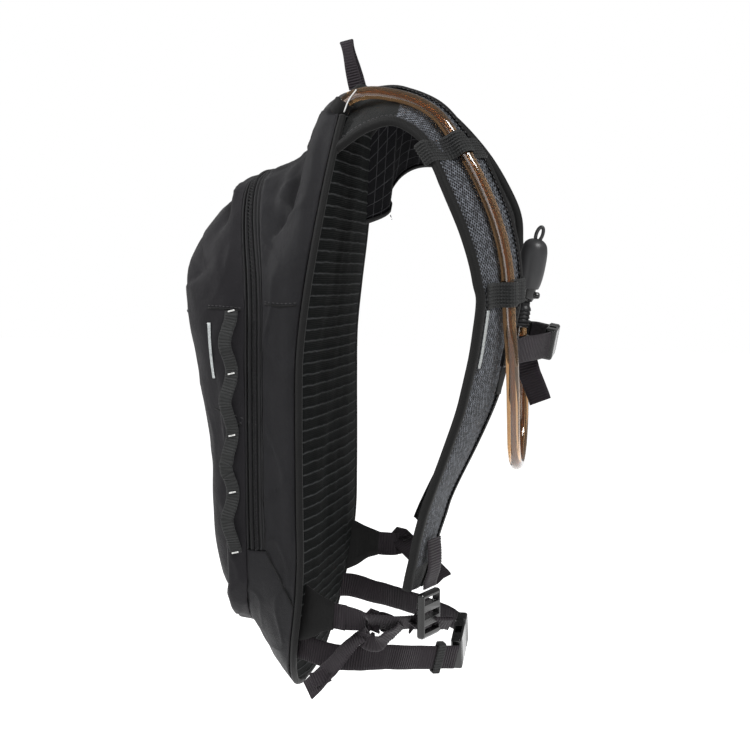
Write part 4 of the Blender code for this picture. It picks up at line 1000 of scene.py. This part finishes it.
def hip_belt():
    """Both halves of the hip belt, its spare tail and the tail's folded end."""
    right = ((0.0780, -0.0160, -0.1240), (0.0850, -0.0020, -0.1255), (0.0880, 0.0100, -0.1280),
             (0.0820, 0.0270, -0.1310), (0.0660, 0.0480, -0.1340), (0.0450, 0.0700, -0.1400),
             tuple(HIP_CENTRE + HIP_ALONG * 0.0200))
    left = ((-0.0780, -0.0160, -0.1180), (-0.0860, -0.0010, -0.1200), (-0.0880, 0.0100, -0.1240),
            (-0.0840, 0.0270, -0.1260), (-0.0660, 0.0520, -0.1270), (-0.0480, 0.0750, -0.1285),
            tuple(HIP_CENTRE - HIP_ALONG * 0.0280))
    bend = ("pack", "hip_male", (-0.066, 0.052, -0.127), (-0.030, 0.097, -0.132))
    for name, route, body, seed in (("right", right, "pack", 11.0), ("left", left, bend, 12.0)):
        turns = [UP.lerp(HIP_UP, ease(k / 13.0)) for k in range(14)]
        webbing(f"hip_strap_{name}", even(route, 14), turns, WEB_HALF, body,
                replaced=(f"hip_webbing_{name}",), wander=0.0014, seed=seed)
    webbing("belt_tail_cover", BELT_TAIL, [(0.50, 0.75, 0.20)], 0.0085, replaced=("belt_tail",),
            wander=0.0016, seed=13.0)
    end = Vector(BELT_TAIL[-2])
    fold = [tuple(end + Vector(p)) for p in ((0.0040, -0.0060, -0.0010), (0.0046, 0.0000, 0.0010),
                                             (0.0038, 0.0060, 0.0040))]
    webbing("belt_tail_fold", fold, [(0.2, -0.5, 0.9)], 0.0060, wander=0.0012, seed=14.0)


# ---------------------------------------------------------------- shoulder straps
def strap_stations(name, count):
    """Centre, half width, way across, way along and way out at even steps down a strap."""
    rows = even([(*centre, half, *side) for centre, half, side in STRAPS[name]], count)
    along = unit(np.gradient(rows[:, :3], axis=0))
    side = unit(rows[:, 4:7])
    out = unit(np.cross(side, along))
    if name == "right":
        share = np.linspace(0.0, 1.0, count)[:, None]
        starts, ends = np.clip((share - 0.12) / 0.15, 0.0, 1.0), np.clip((0.95 - share) / 0.3, 0.0, 1.0)
        roll = STRAP_ROLL * starts * ends
        side, out = unit(side - out * roll), unit(out + side * roll)
        rows[:, :3] -= side * STRAP_EASE * roll / STRAP_ROLL
        rows[:, 3] += STRAP_EASE * roll[:, 0] / STRAP_ROLL
    return rows[:, :3], rows[:, 3], side, along, out


def strap_face(name, sign, centres, halves, side, out):
    """The padded strap: mesh outside, lining inside, nylon at both ends."""
    mirror = np.array((sign, 1.0, 1.0))
    angles = round_angles(44)
    flat = np.sign(np.cos(angles)) * np.abs(np.cos(angles)) ** 0.42
    rise = np.sign(np.sin(angles)) * np.abs(np.sin(angles)) ** 0.62
    grid = []
    for k, centre in enumerate(centres):
        row = []
        puff = 0.0010 * fractal(centre, 22.0, 2.0 + sign)
        for a, t in zip(flat, rise):
            crown = 0.0012 * (1.0 - min(abs(a) / 0.80, 1.0) ** 2) + puff * (1.0 - a * a)
            dent = 0.0012 * math.exp(-(((abs(a) - 0.84) / 0.05) ** 2))
            lift = t * (STRAP_THICK / 2.0 - 0.0004) + (crown - dent if t > 0 else -0.4 * crown)
            row.append((centre + side[k] * (halves[k] - 0.0006) * a + out[k] * lift) * mirror)
        grid.append(row if sign > 0 else row[::-1])

    def pick(i, j):
        inside = (j if sign > 0 else 1.0 - j) > 0.5
        if inside or (sign < 0 and i < 0.30):
            return 1
        return 2 if i < 0.115 or i > 0.955 else 0

    face = grid_piece(f"strap_cover_{name}", grid, MATERIALS["face"], closed=True, caps=True, pick=pick,
                      materials=(MATERIALS["under"], MATERIALS["root"]))
    finish_piece(face, "pack", "strap", f"shoulder_strap_{name}")


def shoulder_straps():
    """Both straps, their bound and stitched edges, and a reflective strip on each."""
    skin = STRAP_THICK / 2.0
    for name, sign, root, first, last in STRAP_SIDES:
        centres, halves, side, _, out = strap_stations(name, STATIONS)
        mirror = np.array((sign, 1.0, 1.0))
        strap_face(name, sign, centres, halves, side, out)
        widths, inset = halves[:, None], 1.0 - 0.0046 / halves[:, None]
        edge_line = ((inset, 1.0), (0.5 + 0.5 * inset, 1.02), (0.99, 0.80), (1.012, 0.30), (1.012, -0.30),
                     (0.99, -0.80), (0.5 + 0.5 * inset, -1.02), (inset, -1.0))
        for edge, edge_name in ((1.0, "outer"), (-1.0, "inner")):
            strips = [(centres + side * widths * a * edge + out * t * (skin + 0.0002)) * mirror
                      for a, t in edge_line]
            strips = across_spline(np.stack(strips, axis=1)[root:], 22)
            fabric(f"strap_binding_{edge_name}_{name}", strips, "binding", "binding", thickness=0.0007)
            row = (centres + side * (widths - 0.0058) * edge + out * (skin + 0.0006)) * mirror
            sewn = slice(2 * root + 4, -6)
            stitches(f"strap_stitch_{edge_name}_{name}", row[sewn], (out * mirror)[sewn])

        keep = slice(int(first * STATIONS), int(last * STATIONS))
        middle = (centres + side * widths * 0.74 + out * (skin + 0.0012)) * mirror
        tape(f"reflective_strip_{name}", middle[keep], (side * mirror)[keep], 0.0019)


def keepers():
    """The elastic loops that hold the tube on the right strap, ribbed along their length."""
    centres, halves, side, along, out = strap_stations("right", 201)
    route = even(TUBE_ROUTE, 400)
    for name, share in KEEPERS.items():
        k = round(share * 200)
        centre, half = centres[k], halves[k]
        over = route[np.argmin(np.linalg.norm(route - centre, axis=1))] - centre
        beside = float(over @ side[k])
        top = float(over @ out[k]) + TUBE_DIAMETER / 2.0 + 0.0012
        rise = STRAP_THICK / 2.0 + 0.0011
        tail = ((half - 0.0024, rise), (half + 0.0012, rise - 0.0010), (half + 0.0018, 0.0),
                (half + 0.0016, -0.0046))
        if name == "lower":
            tail = ((half - 0.0066, rise - 0.0001),)
        hump = ((0.0105, rise), (0.0075, rise + 0.0034), (0.0046, top - 0.0010))
        path = (
            (-half - 0.0016, -0.0046), (-half - 0.0018, 0.0), (-half - 0.0012, rise - 0.0010),
            (-half + 0.0024, rise), ((beside - half) / 2.0 - 0.004, rise + 0.0002),
            *((beside - s, n) for s, n in hump), (beside, top),
            *((beside + s, n) for s, n in reversed(hump)), *tail,
        )
        points = [centre + side[k] * s + out[k] * n - along[k] * s * KEEPER_SLANT[name] for s, n in path]
        webbing(f"keeper_cover_{name}", points, [along[k]], KEEPER_HALF, slot="elastic",
                material="elastic", replaced=(f"tube_keeper_{name}",), thick=0.0010, ribs=0.0)
        fine = even(points, 90)
        up = unit(np.cross(along[k], unit(np.gradient(fine, axis=0))))
        up = up * np.sign((up * out[k]).sum(axis=1).mean())
        for index, place in enumerate(np.linspace(-0.78, 0.78, 7)):
            rib = fine + up * 0.00055 + along[k] * place * KEEPER_HALF
            cord(f"keeper_rib_{name}_{index}", rib, 0.00062, "elastic", "elastic", sides=6)


# ---------------------------------------------------------------- front details
def front_surface(x, height, out):
    """A point out in front of the face, which curves back towards both sides."""
    return (x, front_depth(height) + FACE_CURVE * (abs(x) / FACE_HALF) ** 2 - out, height)


def front_details():
    """The stretch pocket over the front and its hem."""
    rows = []
    for height in np.linspace(-0.055, 0.128, 90):
        row = []
        for x in np.linspace(POCKET_HALF, -POCKET_HALF, 60):
            sag = 0.0012 * fractal((x, 0.0, height * 0.6), 30.0, 4.0)
            row.append(front_surface(x, height, 0.0042 + sag - 0.0012 * (abs(x) / POCKET_HALF) ** 6))
        rows.append(row)
    fabric("pocket_cover", rows, "pocket", "front", "stash_pocket")
    rim = [front_surface(x, 0.1285, 0.0050) for x in np.linspace(-POCKET_HALF, POCKET_HALF, 60)]
    cord("pocket_hem", rim, HEM_RADIUS)


def front_trim(grid, normals):
    """Daisy chains with their tacks, reflective strips and seams, laid on the front cover."""
    for name, side in SIDES:
        spots = []
        for k in range(12 * DAISY_LOOPS + 1):
            swing = 0.0018 * math.cos(2.0 * math.pi * k / 12.0)
            spots.append((DAISY_DEPTH + swing, DAISY_TOP - DAISY_LENGTH * k / (12.0 * DAISY_LOOPS)))
        points, outs = laid(grid, normals, spots, side)
        share = np.linspace(0.0, DAISY_LOOPS, len(points))
        points = points + outs * (0.0018 + 0.0018 * (1.0 - np.cos(2.0 * math.pi * share)))[:, None]
        webbing(f"daisy_cover_{name}", points, [(DAISY_LEAN * side, 1.0, 0.0)], 0.0050,
                replaced=(f"daisy_chain_{name}",), material="elastic", thick=0.0014, pitch=0.0018,
                ribs=0.00012, wander=0.0006)
        for k in range(DAISY_LOOPS + 1):
            at = round(k * (len(points) - 1) / DAISY_LOOPS)
            along = np.array((DAISY_LEAN * side, 1.0, 0.25))
            ends = [points[at] + outs[at] * 0.0013 + along * d for d in (-0.0024, 0.0, 0.0024)]
            tape(f"bar_tack_{name}_{k}", ends, [(0, 0, 1)], 0.00055, "thread", 0.0008, 0.00015,
                 pitch=0.0008)
        spots = ((-0.0735, 0.1240), (-0.0722, 0.1040), (-0.0700, 0.0830))
        strip, outs = laid(grid, normals, spots, side, 0.0010)
        tape(f"front_reflective_{name}", strip, np.cross(outs, (0.0, 0.0, 1.0)), 0.0013)
        for place, line in (("front", ((-0.0490, 0.1335), (-0.0600, 0.1345), (-0.0740, 0.1350))),
                            ("pocket", ((-0.0490, 0.0485), (-0.0520, 0.0500), (-0.0585, 0.0560),
                                        (-0.0690, 0.0610)))):
            seam_line(f"{place}_seam_{name}", grid, normals, line, side)


# ---------------------------------------------------------------- tube and valve
def drinking_tube():
    """The clear tube with its bore, the bite valve and its dust cover at the free end, and the port."""
    path = even(TUBE_ROUTE, 150)
    curve = bpy.data.curves.new("drinking_tube_cover", "CURVE")
    curve.dimensions = "3D"
    line = curve.splines.new("POLY")
    line.points.add(len(path) - 1)
    for spot, point in zip(line.points, path):
        spot.co = (*point, 1.0)
    curve.bevel_depth = TUBE_DIAMETER / 2.0
    curve.bevel_resolution = 8
    curve.use_fill_caps = True
    curve.materials.append(MATERIALS["tube"])
    hose = finish_piece(placed("drinking_tube_cover", curve), "pack", "tube", "drinking_tube")
    parts = [cord("tube_bore", path[1:-1], BORE_RADIUS, "bore", "tube", sides=12)]

    base = Vector(TUBE_ROUTE[-1]) + VALVE_AXIS * 0.0008

    def turned(name, profile, look, height, body, slot, replaced, steps=40):
        piece = lathe(name, profile, look, base + VALVE_AXIS * height, VALVE_AXIS, steps)
        parts.append(finish_piece(piece, body, slot, replaced))

    barb = [(0.0, 0.0), (0.0058, 0.0), (0.0060, 0.0020)]
    for step in range(4):
        low = 0.0030 + step * 0.0030
        barb += [(0.0044, low), (0.0054, low + 0.0004), (0.0049, low + 0.0022)]
    barb += [(0.0038, 0.0160), (0.0036, 0.0190), (0.0, 0.0190)]
    turned("barb_cover", rounded(barb, 0.0003), "rubber", 0.0, "pack", "rubber", "barb_fitting")
    valve = [(0.0, 0.0), (0.0048, 0.0), (0.0062, 0.0030), (0.0064, 0.0150), (0.0058, 0.0175),
             (0.0056, 0.0190), (0.0, 0.0190)]
    turned("valve_cover", rounded(valve, 0.0008), "plastic", 0.0193, "bite_valve", "plastic", "valve_body")
    lever = [tuple(base + VALVE_AXIS * 0.0237 + Vector((0, out, 0)))
             for out in (0.0045, 0.0070, 0.0092, 0.0100)]
    parts.append(cord("valve_lever_cover", lever, 0.0026, "plastic", "plastic", "bite_valve", sides=14,
                      radii=(0.0026, 0.0027, 0.0024, 0.0014)))
    nipple = [(0.0, 0.0), (0.0042, 0.0), (0.0060, 0.0050), (0.0060, 0.0130), (0.0046, 0.0176),
              (0.0, 0.0180)]
    turned("nipple_cover", rounded(nipple, 0.0010), "rubber", 0.0386, "bite_valve", "rubber", "bite_nipple")
    inside = [(0.0, 0.0330), (0.0030, 0.0328), (0.0070, 0.0290), (0.0071, 0.0120), (0.0070, 0.0)]
    outside = [(0.0071, 0.0), (0.0078, -0.0001), (0.0085, 0.0014), (0.0095, 0.0060), (0.0102, 0.0120),
               (0.0104, 0.0180), (0.0104, 0.0240), (0.0099, 0.0295), (0.0085, 0.0340), (0.0060, 0.0366),
               (0.0032, 0.0378), (0.0, 0.0380)]
    smooth = spline([(r, h, 0.0) for r, h in outside], np.linspace(0, len(outside) - 1, 60))[1:, :2]
    turned("dust_cover_cover", inside + [tuple(p) for p in smooth], "cover", 0.0297, "dust_cover", "rubber",
           "dust_cover", 48)
    tip = base + VALVE_AXIS * 0.0711 + Vector((0.0, 0.0016, 0.0))
    long, short = Vector((0.0, 0.33, 0.944)) * 0.0058, Vector((0.0, 0.944, -0.33)) * 0.0024
    pull = [tuple(tip + short * math.cos(a) + long * math.sin(a)) for a in round_angles(24)]
    parts.append(cord("dust_cover_ring", pull, 0.0014, "cover", "rubber", "dust_cover", sides=8,
                      cyclic=True))
    run_length(path)

    lip = [(0.0053, -0.0050), (0.0074, -0.0050), (0.0074, 0.0050), (0.0070, 0.0058), (0.0058, 0.0058),
           (0.0053, 0.0050), (0.0053, -0.0050)]
    port = lathe("port_cover", rounded(lip, 0.0005), "binding", PORT_CENTRE, PORT_AXIS, caps=False)
    finish_piece(port, "pack", "rubber", "hose_port")


def paint_port_highlight():
    """Painted highlight: a thin pale cord beside the tube where it leaves the pack, in place of the bright
    line of light there.
    """
    line = even([(0.0620, 0.0290, 0.2935), (0.0628, 0.0235, 0.2860), (0.0635, 0.0200, 0.2770)], 12)
    # the painted highlight, a cord in the pale thread material
    cord("painted_port_highlight", line, 0.0005, "thread", sides=8)


# ---------------------------------------------------------------- CAD nodes that keep their shape
KEPT = {
    "plastic": ("fill_cap", "hip_buckle_female", "hip_buckle_male", "hip_squeeze_arm_lower",
                "hip_squeeze_arm_upper", "ladder_lock_left", "ladder_lock_right", "quick_connector",
                "sternum_buckle_female", "sternum_buckle_male", "sternum_slider_left",
                "sternum_slider_right", "sternum_squeeze_arm_lower", "sternum_squeeze_arm_upper",
                "tube_clip"),
    "rubber": ("connector_button", "fill_gasket", "zip_pull_lower", "zip_pull_upper"),
    "elastic": ("belt_keeper",),
    "metal": ("zip_slider_lower", "zip_slider_upper"),
    "bladder": ("reservoir_bag",),
    "tube": ("inner_tube",),
    "shell": ("sleeve_divider",),
    "webbing": ("hanger_tab",),
    "foam": ("back_pad",),
}
BEVELLED = ("plastic", "rubber", "elastic", "metal")


def kept_nodes():
    """Give each carried-over part its material and, on hard parts, softened edges."""
    for slot, names in KEPT.items():
        for name in names:
            node = NODES[name]
            node.data.materials.clear()
            node.data.materials.append(MATERIALS[slot])
            if "cloth" not in node.data.uv_layers:
                layer = node.data.uv_layers.new(name="cloth")
                for loop in node.data.loops:
                    spot = node.data.vertices[loop.vertex_index].co
                    layer.data[loop.index].uv = (spot.x + spot.y, spot.z)
            if slot in BEVELLED:
                weld = node.modifiers.new("weld", "WELD")
                weld.merge_threshold = 0.00001
                edge = node.modifiers.new("edges", "BEVEL")
                edge.width = 0.0005
                edge.segments = 3
                edge.limit_method = "ANGLE"
                edge.angle_limit = math.radians(35.0)
                edge.harden_normals = False


# ---------------------------------------------------------------- studio
def aimed(name, data, place, gaze):
    """A camera or lamp at a place, looking along a direction."""
    thing = placed(name, data)
    thing.location = place
    thing.rotation_euler = Vector(gaze).to_track_quat("-Z", "Y").to_euler()
    return thing


def studio():
    """The camera at the photo's angle, the white surround, the pale floor and three soft lamps."""
    camera = bpy.data.cameras.new("camera")
    camera.lens = LENS
    camera.sensor_width = 36.0
    camera.clip_start = 0.05
    turn, pitch = math.radians(CAMERA_TURN), math.radians(CAMERA_PITCH)
    across, ahead = math.cos(turn), math.sin(turn)
    place = (CAMERA_DISTANCE * across, CAMERA_SHIFT + CAMERA_DISTANCE * ahead, CAMERA_HEIGHT)
    gaze = (-across * math.cos(pitch), -ahead * math.cos(pitch), -math.sin(pitch))
    bpy.context.scene.camera = aimed("camera", camera, place, gaze)

    world = bpy.data.worlds.new("studio")
    bpy.context.scene.world = world
    world.use_nodes = True
    tree = world.node_tree
    back = tree.nodes["Background"]
    back.inputs["Color"].default_value = (1.0, 1.0, 1.0, 1.0)
    rays = tree.nodes.new("ShaderNodeLightPath")
    strength = tree.nodes.new("ShaderNodeMapRange")
    strength.inputs["To Min"].default_value = SURROUND
    strength.inputs["To Max"].default_value = 1.0
    tree.links.new(rays.outputs["Is Camera Ray"], strength.inputs["Value"])
    tree.links.new(strength.outputs["Result"], back.inputs["Strength"])

    floor = bpy.data.meshes.new("floor")
    corners = [(x * FLOOR_HALF, y * FLOOR_HALF, FLOOR) for x, y in ((-1, -1), (1, -1), (1, 1), (-1, 1))]
    floor.from_pydata(corners, [], [(0, 1, 2, 3)])
    pale = Look("pale_floor")
    floor.materials.append(pale.surface(
        Base_Color=pale.mix(pale.cloud(3.0), (0.78, 0.78, 0.78), (0.82, 0.82, 0.82)), Roughness=0.9,
        Emission_Color=(1.0, 1.0, 1.0), Emission_Strength=0.85))
    placed("floor", floor)

    for name, place, target, size, power in LAMPS:
        lamp = bpy.data.lights.new(name, "AREA")
        lamp.energy = power
        lamp.size = size
        aimed(name, lamp, place, Vector(target) - Vector(place))
    bpy.context.scene.view_settings.view_transform = "Standard"


studio()
drinking_tube()
paint_port_highlight()
body_covers()
back_mesh()
front_details()
shoulder_straps()
keepers()
sternum()
lower_straps()
hip_belt()
haul_loop()
kept_nodes()
